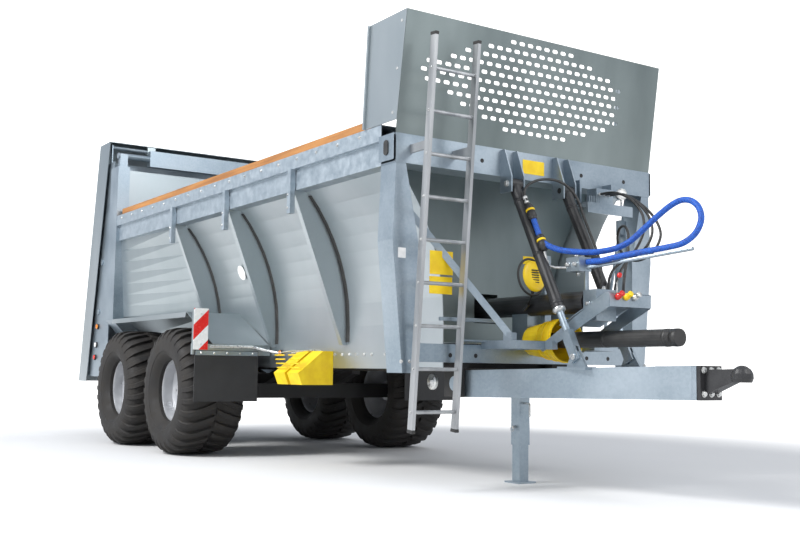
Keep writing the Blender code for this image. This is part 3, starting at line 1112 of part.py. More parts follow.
def fenders():
    """A shelf over each pair of wheels, sloping down in front to the bar that carries the flap and the board."""
    toe_x, toe_z = FENDER_TOE
    toe_x = min(toe_x, RIB_FIRST_X + RIB_SPACING - RIB_FLANGE - 0.045)
    rear, bend, top = POST_FRONT + 0.03, FENDER_BEND_X, FENDER_Z
    under = top - FENDER_SHEET
    inner, outer = fender_inner(bend), BODY_HALF_WIDTH + 0.019
    tyre_inner, tyre_outer = (TRACK - TYRE_WIDTH) / 2, (TRACK + TYRE_WIDTH) / 2
    post_outer = tyre_outer - 0.005
    for name, side in SIDES:
        plan = [(x, fender_inner(x) * side) for x in (rear, FLARE_FRONT, bend)]
        plan += [(bend, outer * side), (rear, outer * side)]
        shelf = prism(f"fender_{name}", plan, under, top, "z", GALVANISED)
        slope = [(bend - 0.01, top - FLUSH), (bend, top - FLUSH), (toe_x, toe_z), (toe_x, toe_z - FENDER_SHEET),
                 (bend - 0.002, under + FLUSH), (bend - 0.01, under + FLUSH)]
        toe = prism(f"fender_toe_{name}", slope, *span(side, inner, outer - FLUSH), "y", GALVANISED)
        skirt = [(rear, top - FENDER_SKIRT), (rear, top - 0.001), (bend - 0.001, top - 0.001),
                 (bend - 0.03, top - FENDER_SKIRT)]
        lip = prism(f"fender_lip_{name}", skirt, *span(side, outer - FENDER_SHEET, outer + 0.001), "y", GALVANISED)
        bar = box(f"flap_bar_{name}", (toe_x - 0.01, toe_x + 0.03), span(side, inner + 0.001, tyre_outer),
                  (toe_z - 0.10, toe_z - 0.001), GALVANISED)
        post = box(f"board_post_{name}", (toe_x - 0.008, toe_x + 0.03 - FLUSH), span(side, post_outer - 0.02, post_outer),
                   (toe_z - 0.09, toe_z + 0.31), GALVANISED)
        weld(shelf, toe, lip, bar, post)
        notch = box(f"rib_notch_{name}", (RIB_FIRST_X - RIB_FLANGE - SEAT_GAP, RIB_FIRST_X + BAR / 2 + SEAT_GAP),
                    span(side, FOOT_HALF_WIDTH, rib_outer_y(top) + SEAT_GAP), (top - 0.02, top + 0.02), GALVANISED)
        cut(shelf, notch)
        panel_x = toe_x + 0.03 + SEAT_GAP
        box(f"mud_flap_{name}", (panel_x, panel_x + FLAP_THICKNESS), span(side, tyre_inner - 0.02, tyre_outer - 0.02),
            (FLAP_BOTTOM, toe_z - 0.06), BLACK_PLASTIC)
        box(f"warning_board_{name}", (panel_x, panel_x + BOARD_SHEET), span(side, post_outer - BOARD_WIDTH, post_outer),
            (toe_z - 0.055, toe_z - 0.055 + BOARD_HEIGHT), WARNING)


def chocks():
    """Two wheel chocks in their holders on the right-hand skirt."""
    y = -FOOT_HALF_WIDTH - SEAT_GAP
    bottom = CHOCK_TOP_Z - CHOCK_HEIGHT
    outline = [(y, CHOCK_TOP_Z), (y - 0.10, CHOCK_TOP_Z), (y - 0.34, bottom + 0.10), (y - 0.30, bottom), (y, bottom)]
    for name, x in zip(("rear", "front"), CHOCK_X):
        prism(f"wheel_chock_{name}", outline, x, x + CHOCK_WIDTH, "x", YELLOW)


# ---------------------------------------------------------------- valve tray, stays and hose rack
def valve_tray():
    """A sloping trough that carries the valves, on two arms and a platform at the sill."""
    back, half = FRONT_X + SEAT_GAP, TRAY_HALF_WIDTH
    top, nose = FLOOR_Z + 0.335, FLOOR_Z + 0.23
    rear = PLATFORM_FRONT - 0.10
    side_plate = [(rear, FLOOR_Z - 0.03), (TRAY_FRONT - 0.04, top), (TRAY_FRONT, top - 0.01),
                  (TRAY_FRONT - 0.01, nose), (FRONT_X + 0.52, FLOOR_Z + 0.01), (rear + 0.04, FLOOR_Z - 0.065)]
    plates = [prism(f"tray_side_{name}", side_plate, *span(side, half - SHEET, half), "y", GALVANISED)
              for name, side in SIDES]
    tray = plates[0]
    tray.name = "valve_tray"
    deck_rear, deck_front = FRONT_X + 0.51, TRAY_FRONT - 0.02
    deck = prism("tray_deck", [(deck_rear, FLOOR_Z + 0.125), (deck_front, top), (deck_front, top - 0.008),
                               (deck_rear, FLOOR_Z + 0.117)], -half + 0.003, half - 0.003, "y", GALVANISED)
    face = box("tray_face", (TRAY_FRONT - 0.018, TRAY_FRONT - 0.002), (-half + 0.003, half - 0.003),
               (nose + 0.005, top - 0.013), GALVANISED)
    arm_z = (FLOOR_Z - 0.05, FLOOR_Z + 0.01)
    arms = [box(f"tray_arm_{name}", (back, FRONT_X + 0.47), span(side, half - 0.02, half + 0.03), arm_z, GALVANISED)
            for name, side in SIDES]
    block = box("valve_block", (FRONT_X + 0.64, FRONT_X + 0.77), (-0.09, 0.10), (FLOOR_Z + 0.15, FLOOR_Z + 0.37),
                GALVANISED)
    edges = [box(f"platform_edge_{name}", (PLATFORM_FRONT - 0.06, PLATFORM_FRONT),
                 span(side, half + 0.028, PLATFORM_HALF_WIDTH), (arm_z[0] + 0.001, arm_z[1] - 0.001), GALVANISED)
             for name, side in SIDES]
    ends = [box(f"platform_end_{name}", (back, PLATFORM_FRONT - 0.001),
                span(side, PLATFORM_HALF_WIDTH - 0.06, PLATFORM_HALF_WIDTH - 0.001), arm_z, GALVANISED)
            for name, side in SIDES]
    hose_block = box("hose_block", (FRONT_X + 0.54, FRONT_X + 0.675), (-0.16, -0.045), (FLOOR_Z + 0.50, FLOOR_Z + 0.60),
                     GALVANISED)
    post = rod("hose_post", (FRONT_X + 0.655, -0.070, FLOOR_Z + 0.36), (FRONT_X + 0.655, -0.070, FLOOR_Z + 0.51),
               0.016, GALVANISED, 8)
    arm = rod("hose_arm", (FRONT_X + 0.66, -0.085, FLOOR_Z + 0.525), (FRONT_X + 1.47, 0.10, FLOOR_Z + 0.605),
              0.014, GALVANISED, 8)
    slope = 0.21 / (deck_front - deck_rear)
    plugs = []
    for x, y, _ in (route[-1] for route in (OUTER_ROUTE, MIDDLE_ROUTE, INNER_ROUTE, BRIDGE_ROUTE)):
        deck_z = FLOOR_Z + 0.125 + (x - deck_rear) * slope
        plugs.append(rod("hose_plug", (x, y, deck_z - 0.006), (x, y, deck_z + PLUG_HEIGHT), PLUG_RADIUS, GALVANISED, 8))
    weld(tray, deck, face, plates[1], *arms, block, *edges, *ends, post, hose_block, arm, *plugs)


def stays():
    """A flat bar from each front leg down to the platform's corner."""
    knee_y = BODY_HALF_WIDTH - 0.200
    slope = (BEAM_BOTTOM - LEG_KNEE_Z) / 0.114
    for name, side in SIDES:
        head_z = LEG_KNEE_Z + 0.30
        head_y = knee_y + (head_z - LEG_KNEE_Z) / slope
        foot = Vector((PLATFORM_FRONT - 0.11, side * (PLATFORM_HALF_WIDTH - 0.04), FLOOR_Z + 0.045))
        head = Vector((FRONT_X - 0.17, side * (head_y - 0.03), head_z))
        stay = beam(f"front_stay_{name}", head, foot, STAY_THICKNESS, STAY_WIDTH, GALVANISED)
        shoe = box(f"stay_shoe_{name}", span_at(foot.x, 0.09), span_at(foot.y, 0.05),
                   (FLOOR_Z + 0.01 + SEAT_GAP, foot.z + 0.02), GALVANISED)
        pad_z = (head_z - 0.06, head_z + 0.06)
        pad_y = [knee_y + (z - LEG_KNEE_Z) / slope - SEAT_GAP for z in pad_z]
        outline = [(pad_y[0], pad_z[0]), (pad_y[1], pad_z[1]), (head_y - 0.05, pad_z[1]), (head_y - 0.05, pad_z[0])]
        pad = prism(f"stay_pad_{name}", mirrored(outline, side), *span_at(head.x, 0.05), "x", GALVANISED)
        weld(stay, shoe, pad)


def hose_rack():
    """A shelf under the beam's left half, with the clamp that the black hoses come out of."""
    x = FRONT_X + SEAT_GAP
    y = span_at(0.56, 0.48)
    top = BEAM_BOTTOM - 0.159
    plate = box("hose_rack", (x + 0.09, x + 0.26), y, (top - 0.012, top), GALVANISED)
    lip = box("hose_rack_lip", (x + 0.25, x + 0.262), y, (top - 0.082, top - 0.001), GALVANISED)
    arms = [box(f"rack_arm_{i}", (x, x + 0.10), span_at(side, 0.02), (top - 0.022, BEAM_BOTTOM + 0.039), GALVANISED)
            for i, side in enumerate((0.40, 0.74))]
    clamp = box("hose_clamp", (x + 0.13, x + 0.232), HOSE_CLAMP_Y, (top - 0.001, top + HOSE_CLAMP_HEIGHT), GALVANISED)
    weld(plate, lip, *arms, clamp)


def smooth_route(points, step):
    """Points at even steps along a smooth curve through the chosen ones."""
    chosen = [Vector(point) for point in points]
    padded = [2 * chosen[0] - chosen[1], *chosen, 2 * chosen[-1] - chosen[-2]]
    dense = []
    for a, b, c, d in zip(padded, padded[1:], padded[2:], padded[3:]):
        for i in range(16):
            t = i / 16
            dense.append((2 * b + (c - a) * t + (2 * a - 5 * b + 4 * c - d) * t**2 + (3 * b - a - 3 * c + d) * t**3) / 2)
    dense.append(chosen[-1])
    travel = [0.0]
    for a, b in zip(dense, dense[1:]):
        travel.append(travel[-1] + (b - a).length)
    count = max(2, round(travel[-1] / step))
    even = []
    for i in range(count + 1):
        goal = travel[-1] * i / count
        k = min(max(j for j, way in enumerate(travel) if way <= goal + 1e-9), len(dense) - 2)
        share = (goal - travel[k]) / (travel[k + 1] - travel[k])
        even.append(dense[k].lerp(dense[k + 1], min(share, 1.0)))
    return even


def hose(name, route, radius, finish):
    """A free hose as a round tube along its route."""
    points = smooth_route(route, 2 * radius * HOSE_STEP)
    path = bpy.data.curves.new(name, "CURVE")
    path.dimensions = "3D"
    path.bevel_depth = radius
    path.bevel_resolution = 2
    path.use_fill_caps = True
    line = path.splines.new("POLY")
    line.points.add(len(points) - 1)
    for spot, point in zip(line.points, points):
        spot.co = (*point, 1.0)
    path.materials.append(finish)
    obj = bpy.data.objects.new(name, path)
    bpy.context.scene.collection.objects.link(obj)
    obj.parent = machine


def hoses():
    hose("hose_blue", BLUE_ROUTE, BLUE_HOSE_RADIUS, HOSE_BLUE)
    hose("hose_black_outer", OUTER_ROUTE, BLACK_HOSE_RADIUS, HOSE_BLACK)
    hose("hose_black_middle", MIDDLE_ROUTE, BLACK_HOSE_RADIUS, HOSE_BLACK)
    hose("hose_black_inner", INNER_ROUTE, BLACK_HOSE_RADIUS, HOSE_BLACK)
    hose("hose_black_bridge", BRIDGE_ROUTE, BLACK_HOSE_RADIUS, HOSE_BLACK)


running_gear()
chassis()
hopper_floor()
hopper_walls()
top_rails()
front_frame()
head_board()
drawbar()
drawbar_struts()
coupling()
jack()
ladder()
rear_gate()
spreading_unit()
rear_hood()
push_unit()
driveline()
fenders()
chocks()
valve_tray()
stays()
hose_rack()
hoses()
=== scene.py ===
# %% [markdown]
# # A manure spreader, finished in Blender
# The machine's steel is already designed: every plate, wheel and joint is loaded here as a fixed frame.
# This lesson gives it its looks, one piece at a time: the camera, the hoses, the finishes, the tyres and
# the small hardware. Nothing that was loaded is moved. A piece whose plain shape isn't good enough is
# replaced by a finer one in exactly the same place.

# %% load the frame
import math

import bmesh
import bpy
from mathutils import Matrix, Vector
from mathutils.bvhtree import BVHTree


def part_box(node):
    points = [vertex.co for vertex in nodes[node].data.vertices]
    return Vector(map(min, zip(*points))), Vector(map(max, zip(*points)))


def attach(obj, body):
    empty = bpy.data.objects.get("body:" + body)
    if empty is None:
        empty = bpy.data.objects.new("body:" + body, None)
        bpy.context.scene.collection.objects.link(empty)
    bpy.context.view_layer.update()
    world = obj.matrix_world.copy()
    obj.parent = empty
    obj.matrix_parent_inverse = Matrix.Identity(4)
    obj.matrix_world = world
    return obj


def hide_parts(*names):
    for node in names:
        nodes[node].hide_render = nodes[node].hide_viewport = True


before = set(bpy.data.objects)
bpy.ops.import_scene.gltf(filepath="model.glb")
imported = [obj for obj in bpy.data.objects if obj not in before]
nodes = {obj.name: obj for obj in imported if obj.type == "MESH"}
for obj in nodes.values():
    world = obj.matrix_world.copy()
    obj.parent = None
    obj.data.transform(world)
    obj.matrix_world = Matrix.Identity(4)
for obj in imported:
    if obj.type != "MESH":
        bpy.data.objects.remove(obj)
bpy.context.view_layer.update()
print("nodes loaded:", len(nodes))

# %% [markdown]
# Sizes on a trailer are read from its front axle, because everything hangs on it. The function `at` turns
# a place counted from that axle into the frame's own coordinates: X is forward, Y to the left, Z up.

# %% places counted from the front axle
axle_low, axle_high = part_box("axle_front")
AXLE_X = (axle_low.x + axle_high.x) / 2
SIDES = (("right", -1), ("left", 1))


def at(x, y, z):
    return Vector((AXLE_X + x, y, z))


def box_of(node):
    """Lowest and highest corner of a node, with X counted from the front axle."""
    low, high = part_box(node)
    return Vector((low.x - AXLE_X, low.y, low.z)), Vector((high.x - AXLE_X, high.y, high.z))


print("front axle at x =", round(AXLE_X, 3))

# %% [markdown]
# The camera stands low, ahead of the machine and to its right, so the tyres look tall and the body runs
# away to the rear. A slightly long lens keeps the box shape honest. The direction is worked out from three
# angles, which are easier to judge than a rotation: round, up and a small roll.

# %% camera
VIEW_ROUND = math.radians(56.44)
VIEW_UP = math.radians(5.63)
VIEW_ROLL = math.radians(-0.725)

camera_data = bpy.data.cameras.new("camera")
camera_data.lens = 47.46
camera_data.sensor_width = 36.0
camera = bpy.data.objects.new("camera", camera_data)
bpy.context.scene.collection.objects.link(camera)
camera.location = at(9.846, -5.279, 0.837)
turn = (Matrix.Rotation(VIEW_ROUND, 4, "Z") @ Matrix.Rotation(math.pi / 2 + VIEW_UP, 4, "X")
        @ Matrix.Rotation(-VIEW_ROLL, 4, "Z"))
camera.rotation_euler = turn.to_euler()
bpy.context.scene.camera = camera
print("camera at", [round(v, 2) for v in camera.location])

# %% [markdown]
# Every finish below starts from one recipe. Real metal, rubber and wood are never one flat colour: a slow
# pattern shifts the colour, another shifts the gloss, and a fine one lifts the surface by a fraction of a
# millimetre. The recipe takes those three and builds the node tree, and each material only changes the
# numbers. Patterns use object coordinates, which are metres here, so their scale is a real scale.

# %% recipe for a surface
def add_node(tree, kind, inputs=None, **options):
    """A new shader node with its options and the values of its inputs."""
    made = tree.nodes.new("ShaderNode" + kind)
    for key, value in options.items():
        setattr(made, key, value)
    for key, value in (inputs or {}).items():
        made.inputs[key].default_value = value
    return made


def link(tree, source, output, target, field):
    tree.links.new(source.outputs[output], target.inputs[field])


def surface(name, dark, light, gloss, metallic=0.0, patch=0.3, stretch=(1, 1, 1), cells=0.0,
            grain=0.004, lift=0.0006):
    """A finish with colour patches, uneven gloss and a fine bump. gloss is a low and a high roughness."""
    finish = bpy.data.materials.new(name)
    finish.use_nodes = True
    tree = finish.node_tree
    shader = tree.nodes["Principled BSDF"]
    shader.inputs["Metallic"].default_value = metallic
    place = add_node(tree, "TexCoord")
    mapping = add_node(tree, "Mapping", {"Scale": stretch})
    link(tree, place, "Object", mapping, "Vector")
    slow = add_node(tree, "TexNoise", {"Scale": 1 / patch, "Detail": 5})
    link(tree, mapping, "Vector", slow, "Vector")
    shade, shade_name = slow, "Fac"
    if cells:
        spangle = add_node(tree, "TexVoronoi", {"Scale": 1 / cells})
        link(tree, place, "Object", spangle, "Vector")
        split = add_node(tree, "SeparateColor")
        link(tree, spangle, "Color", split, "Color")
        blend = add_node(tree, "Mix", {"Factor": 0.09})
        link(tree, slow, "Fac", blend, "A")
        link(tree, split, "Red", blend, "B")
        shade, shade_name = blend, "Result"
    ramp = add_node(tree, "ValToRGB")
    for step, position, colour in zip(ramp.color_ramp.elements, (0.30, 0.70), (dark, light)):
        step.position = position
        step.color = (*colour, 1)
    link(tree, shade, shade_name, ramp, "Fac")
    link(tree, ramp, "Color", shader, "Base Color")
    spread = {"From Min": 0.3, "From Max": 0.7, "To Min": gloss[0], "To Max": gloss[1]}
    rough = add_node(tree, "MapRange", spread)
    link(tree, shade, shade_name, rough, "Value")
    link(tree, rough, "Result", shader, "Roughness")
    fine = add_node(tree, "TexNoise", {"Scale": 1 / grain, "Detail": 3})
    link(tree, mapping, "Vector", fine, "Vector")
    bump = add_node(tree, "Bump", {"Strength": 0.5, "Distance": lift})
    link(tree, fine, "Fac", bump, "Height")
    link(tree, bump, "Normal", shader, "Normal")
    return finish

# %% [markdown]
# Nearly all of this machine is hot-dip galvanised steel. Zinc freezes into crystals the size of a thumbnail,
# the spangle, over slow cloudy patches, and it looks light blue-grey under the sky. One recipe with other
# numbers gives the thick frames, the smoother body sheets, the rough top rail and the bright fasteners, and a
# darker copy of the body sheet paints shade onto the sheets that face away from the light.

# %% galvanised steel
GALVANISED = surface("galvanised", (0.25, 0.31, 0.36), (0.40, 0.46, 0.51), (0.30, 0.44), 0.80, 0.45,
                     cells=0.016, grain=0.040, lift=0.0003)
SHEET_STEEL = surface("galvanised_sheet", (0.33, 0.38, 0.40), (0.46, 0.50, 0.52), (0.30, 0.40), 0.90, 0.9,
                      stretch=(1, 1, 0.35), grain=0.060, lift=0.0003)
# Painted shade: the body sheet made darker, for the head board and the push wall, which face away from the
# light.
PAINTED_SHADE_SHEET = surface("galvanised_painted_shade", (0.15, 0.18, 0.18), (0.25, 0.29, 0.29), (0.30, 0.42), 0.85, 0.7,
                       stretch=(1, 1, 0.35), grain=0.060, lift=0.0003)
RAIL_STEEL = surface("galvanised_rail", (0.30, 0.36, 0.41), (0.44, 0.50, 0.55), (0.36, 0.50), 0.70, 0.06,
                     cells=0.020, grain=0.006, lift=0.0008)
ZINC = surface("zinc_fastener", (0.45, 0.46, 0.46), (0.72, 0.72, 0.70), (0.22, 0.42), 0.8, 0.03)

# %% [markdown]
# The axles, chassis and drawbar struts are black paint, which is never quite black outdoors: dust greys it
# and the gloss is uneven. Tyres are duller still, with a brown film. The other finishes are plastic, wood,
# bare aluminium and the silver paint of the wheel discs, each with its own grain size and direction.

# %% paint, rubber, plastic, wood and aluminium
BLACK_PAINT = surface("black_paint", (0.010, 0.010, 0.011), (0.030, 0.030, 0.032), (0.28, 0.46), 0.0, 0.15,
                      grain=0.010, lift=0.0003)
CHASSIS_BLACK = surface("chassis_black", (0.008, 0.008, 0.009), (0.022, 0.021, 0.020), (0.45, 0.70),
                        0.0, 0.2)
RUBBER = surface("tyre_rubber", (0.009, 0.008, 0.008), (0.024, 0.021, 0.018), (0.60, 0.85), 0.0, 0.12,
                 grain=0.003, lift=0.0006)
RIM_SILVER = surface("rim_silver", (0.36, 0.37, 0.39), (0.52, 0.53, 0.55), (0.25, 0.42), 0.35, 0.20)
TIMBER = surface("rail_timber", (0.22, 0.085, 0.020), (0.46, 0.21, 0.06), (0.50, 0.75), 0.0, 0.05,
                 stretch=(0.06, 1, 1), grain=0.006, lift=0.0012)
YELLOW = surface("yellow_plastic", (0.80, 0.52, 0.004), (0.92, 0.66, 0.010), (0.35, 0.50), 0.0, 0.08,
                 grain=0.002, lift=0.0003)
BLACK_PLASTIC = surface("black_plastic", (0.014, 0.014, 0.014), (0.034, 0.033, 0.032), (0.38, 0.60), 0.0,
                        0.10, grain=0.002, lift=0.0003)
FLAP_RUBBER = surface("flap_rubber", (0.016, 0.016, 0.017), (0.030, 0.030, 0.031), (0.55, 0.72), 0.0, 0.15,
                      grain=0.002, lift=0.0004)
ALUMINIUM = surface("ladder_aluminium", (0.30, 0.31, 0.32), (0.46, 0.47, 0.48), (0.30, 0.48), 0.75, 0.10,
                    stretch=(1, 1, 0.08), grain=0.004, lift=0.0003)
AMBER = surface("amber_lens", (0.75, 0.16, 0.01), (0.95, 0.32, 0.02), (0.12, 0.20), 0.0, 0.01)
RED = surface("red_lens", (0.45, 0.01, 0.01), (0.70, 0.03, 0.02), (0.12, 0.22), 0.0, 0.01)
WHITE = surface("white_label", (0.76, 0.76, 0.75), (0.88, 0.88, 0.87), (0.30, 0.45), 0.0, 0.05)
HOSE_BLACK = surface("black_hose", (0.010, 0.010, 0.010), (0.028, 0.027, 0.026), (0.32, 0.50), 0.0, 0.04,
                     grain=0.002, lift=0.0006)
print("materials:", len(bpy.data.materials))

# %% [markdown]
# The blue hose wears a woven sleeve. A weave is two sets of waves that cross, so the sleeve adds a fine
# checked bump to the recipe and lets the light threads show on top.

# %% woven sleeve
def woven(name, dark, light, thread):
    finish = surface(name, dark, light, (0.50, 0.75), 0.0, 0.02, grain=0.004, lift=0.0015)
    tree = finish.node_tree
    checks = add_node(tree, "TexChecker", {"Scale": 1 / thread, "Color1": (*dark, 1), "Color2": (*light, 1)})
    link(tree, tree.nodes["Texture Coordinate"], "Object", checks, "Vector")
    mix = add_node(tree, "Mix", {"Factor": 0.35}, data_type="RGBA")
    link(tree, tree.nodes["Color Ramp"], "Color", mix, "A")
    link(tree, checks, "Color", mix, "B")
    link(tree, mix, "Result", tree.nodes["Principled BSDF"], "Base Color")
    return finish


HOSE_BLUE = woven("blue_sleeve", (0.004, 0.035, 0.22), (0.015, 0.12, 0.55), 0.012)

# %% [markdown]
# Five free hoses cross the front of the body. Each is drawn as one smooth curve through the route that it
# really takes: straight out of its fitting, over in an arch, and down again under its own weight. The route
# points are listed, and the curve between them is a Catmull-Rom spline, which passes through every one.

# %% hose routes, counted from the front axle
BLUE_ROUTE = [
    (4.0357, -0.260, 1.9425), (4.0817, -0.260, 1.8537), (4.1095, -0.260, 1.8000), (4.170, -0.248, 1.745),
    (4.260, -0.205, 1.705), (4.360, -0.140, 1.688), (4.460, -0.050, 1.685), (4.560, 0.040, 1.708),
    (4.650, 0.095, 1.757), (4.750, 0.125, 1.835), (4.850, 0.140, 1.905), (4.960, 0.145, 1.965),
    (5.055, 0.147, 1.995), (5.145, 0.145, 1.983), (5.216, 0.140, 1.930), (5.246, 0.129, 1.845),
    (5.214, 0.110, 1.756), (5.130, 0.084, 1.696), (5.010, 0.0565, 1.6752), (4.800, 0.0086, 1.6545),
    (4.650, -0.045, 1.634), (4.560, -0.0815, 1.616), (4.500, -0.0815, 1.616), (4.4053, -0.0815, 1.616),
]
OUTER_ROUTE = [
    (3.9626, 0.570, 2.215), (4.010, 0.570, 2.215), (4.055, 0.570, 2.215), (4.130, 0.570, 2.200),
    (4.240, 0.570, 2.145), (4.360, 0.570, 2.060), (4.460, 0.560, 1.960), (4.520, 0.540, 1.850),
    (4.495, 0.510, 1.745), (4.420, 0.480, 1.680), (4.325, 0.450, 1.670), (4.252, 0.418, 1.728),
    (4.236, 0.388, 1.818), (4.280, 0.358, 1.896), (4.364, 0.326, 1.912), (4.430, 0.296, 1.856),
    (4.462, 0.266, 1.760), (4.486, 0.230, 1.660), (4.510, 0.180, 1.550), (4.530, 0.145, 1.441),
    (4.530, 0.145, 1.394), (4.530, 0.145, 1.3472),
]
MIDDLE_ROUTE = [
    (3.9626, 0.520, 2.215), (4.010, 0.520, 2.215), (4.055, 0.520, 2.215), (4.130, 0.520, 2.202),
    (4.240, 0.520, 2.155), (4.355, 0.515, 2.078), (4.445, 0.505, 1.978), (4.490, 0.485, 1.868),
    (4.470, 0.450, 1.765), (4.400, 0.415, 1.700), (4.310, 0.380, 1.665), (4.255, 0.335, 1.610),
    (4.255, 0.285, 1.540), (4.300, 0.230, 1.480), (4.345, 0.180, 1.425), (4.370, 0.150, 1.371),
    (4.370, 0.150, 1.324), (4.370, 0.150, 1.2772),
]
INNER_ROUTE = [
    (3.9626, 0.470, 2.215), (4.010, 0.470, 2.215), (4.055, 0.470, 2.215), (4.130, 0.470, 2.205),
    (4.240, 0.470, 2.165), (4.350, 0.460, 2.090), (4.430, 0.450, 1.995), (4.460, 0.430, 1.885),
    (4.450, 0.390, 1.780), (4.425, 0.335, 1.690), (4.410, 0.270, 1.610), (4.418, 0.215, 1.540),
    (4.436, 0.165, 1.470), (4.450, 0.140, 1.406), (4.450, 0.140, 1.359), (4.450, 0.140, 1.3122),
]
BRIDGE_ROUTE = [
    (3.9754, -0.260, 2.0593), (3.9542, -0.260, 2.1002), (3.934, -0.260, 2.1392), (3.922, -0.245, 2.190),
    (3.933, -0.195, 2.237), (3.950, -0.110, 2.268), (3.965, 0.000, 2.275), (3.975, 0.100, 2.250),
    (3.995, 0.170, 2.190), (4.020, 0.200, 2.120), (4.050, 0.205, 2.045), (4.095, 0.205, 1.950),
    (4.150, 0.205, 1.840), (4.210, 0.200, 1.730), (4.260, 0.188, 1.620), (4.285, 0.172, 1.520),
    (4.298, 0.155, 1.420), (4.300, 0.150, 1.341), (4.300, 0.150, 1.294), (4.300, 0.150, 1.2466),
]


# %% [markdown]
# A route is a handful of points, and a hose is smooth between them. Each stretch is a cubic that takes its
# directions from the points on either side, so the bends stay even and no corner shows.

# %% smooth curve through a route
def smooth_route(route, steps=5):
    """Points along a Catmull-Rom curve through the route, in the frame's coordinates."""
    chosen = [at(*point) for point in route]
    padded = [2 * chosen[0] - chosen[1], *chosen, 2 * chosen[-1] - chosen[-2]]
    dense = []
    for a, b, c, d in zip(padded, padded[1:], padded[2:], padded[3:]):
        for i in range(steps):
            t = i / steps
            dense.append((2 * b + (c - a) * t + (2 * a - 5 * b + 4 * c - d) * t**2
                          + (3 * b - a - 3 * c + d) * t**3) / 2)
    dense.append(chosen[-1])
    return dense


def hose(name, node, route, radius, finish):
    """A free hose as a curve with a round section, in the place of its plain node."""
    points = smooth_route(route)
    data = bpy.data.curves.new(name, "CURVE")
    data.dimensions = "3D"
    data.bevel_depth = radius
    data.bevel_resolution = 5
    data.use_fill_caps = True
    line = data.splines.new("POLY")
    line.points.add(len(points) - 1)
    for spot, point in zip(line.points, points):
        spot.co = (*point, 1.0)
    line.use_smooth = True
    data.materials.append(finish)
    piece = bpy.data.objects.new(name, data)
    bpy.context.scene.collection.objects.link(piece)
    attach(piece, "chassis")
    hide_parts(node)
    return piece


BLUE_RADIUS = 0.021
BLACK_RADIUS = 0.010
hose("blue_hose", "hose_blue", BLUE_ROUTE, BLUE_RADIUS, HOSE_BLUE)
for name, route in (("outer", OUTER_ROUTE), ("middle", MIDDLE_ROUTE), ("inner", INNER_ROUTE),
                    ("bridge", BRIDGE_ROUTE)):
    hose(f"black_hose_{name}", f"hose_black_{name}", route, BLACK_RADIUS, HOSE_BLACK)

# %% [markdown]
# The loaded steel keeps its exact shape, but real plates have edges that catch the light, because nobody
# can cut a perfectly sharp one. A small bevel modifier with hardened normals gives every node that bright
# line. The finishes go on by the kind of piece, through each node's own material slots.

# %% finishes and soft edges on the loaded nodes
NODES_BY_FINISH = (
    (CHASSIS_BLACK, "axle_front axle_rear chassis_frame"),
    (BLACK_PAINT, "ball_coupling push_cylinder drawbar_strut_left drawbar_strut_right"),
    (TIMBER, "timber_rail_left timber_rail_right"),
    (YELLOW, "pto_guard wheel_chock_front wheel_chock_rear"),
    (BLACK_PLASTIC, "pto_shaft"),
    (FLAP_RUBBER, "mud_flap_left mud_flap_right"),
    (ALUMINIUM, "ladder"),
    # The push wall gets the darker sheet as painted shade.
    (PAINTED_SHADE_SHEET, "push_wall"),
    (SHEET_STEEL, "hopper_floor dosing_gate rear_hood hopper_side_left hopper_side_right"),
    (SHEET_STEEL, "fender_left fender_right"),
    (RAIL_STEEL, "top_rail_left top_rail_right"),
)
FINISH_BY_NODE = {name: finish for finish, names in NODES_BY_FINISH for name in names.split()}
EDGE_WIDTH = 0.0025
ROUND_EDGE = {"pto_shaft": 0.006, "pto_guard": 0.004, "wheel_chock_front": 0.008, "wheel_chock_rear": 0.008}


def soften(piece, width, segments=2):
    edge = piece.modifiers.new("edge", "BEVEL")
    edge.width = width
    edge.segments = segments
    edge.limit_method = "ANGLE"
    edge.angle_limit = math.radians(35)
    edge.harden_normals = True
    edge.use_clamp_overlap = True


def shade_smooth(piece):
    for face in piece.data.polygons:
        face.use_smooth = True


for name, node in nodes.items():
    finish = FINISH_BY_NODE.get(name, GALVANISED)
    node.data.materials.clear()
    node.data.materials.append(finish)
    shade_smooth(node)
    soften(node, ROUND_EDGE.get(name, EDGE_WIDTH))
print("finished nodes:", len(nodes))

# %% [markdown]
# From here on, pieces are built from points and faces. A few small makers cover almost everything on a farm
# machine: a skin through rings of points, a turned shape, a plate with an outline, and a row of bolts joined
# into one mesh. A helper gives the faces of any skin that closes on itself, such as a tyre or a rim.

# %% makers
def make_piece(name, verts, faces, finish, body="chassis", slot="galvanised", smooth=False):
    mesh = bpy.data.meshes.new(name)
    mesh.from_pydata([tuple(v) for v in verts], [], faces)
    shape = bmesh.new()
    shape.from_mesh(mesh)
    bmesh.ops.recalc_face_normals(shape, faces=shape.faces)
    shape.to_mesh(mesh)
    shape.free()
    mesh.materials.append(finish)
    piece = bpy.data.objects.new(name, mesh)
    bpy.context.scene.collection.objects.link(piece)
    if smooth:
        shade_smooth(piece)
    if body:
        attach(piece, body)
    return piece


def loft_mesh(rings):
    """Vertices and faces of a closed skin through rings that have the same number of points."""
    count = len(rings[0])
    verts = [point for one in rings for point in one]
    faces = [list(range(count)), list(range(len(verts) - count, len(verts)))]
    for r in range(len(rings) - 1):
        for i in range(count):
            j = (i + 1) % count
            faces.append([r * count + i, r * count + j, (r + 1) * count + j, (r + 1) * count + i])
    return verts, faces


def loop_faces(steps, count):
    """Faces of a skin that closes on itself: each of the steps is a loop of count points."""
    faces = []
    for k in range(steps):
        for i in range(count):
            j, m = (i + 1) % count, (k + 1) % steps
            faces.append([k * count + i, k * count + j, m * count + j, m * count + i])
    return faces


def directions(along):
    """The given direction at length one, and two more at right angles to it."""
    along = Vector(along).normalized()
    helper = Vector((0, 0, 1)) if abs(along.z) < 0.9 else Vector((1, 0, 0))
    across = along.cross(helper).normalized()
    return along, across, along.cross(across)


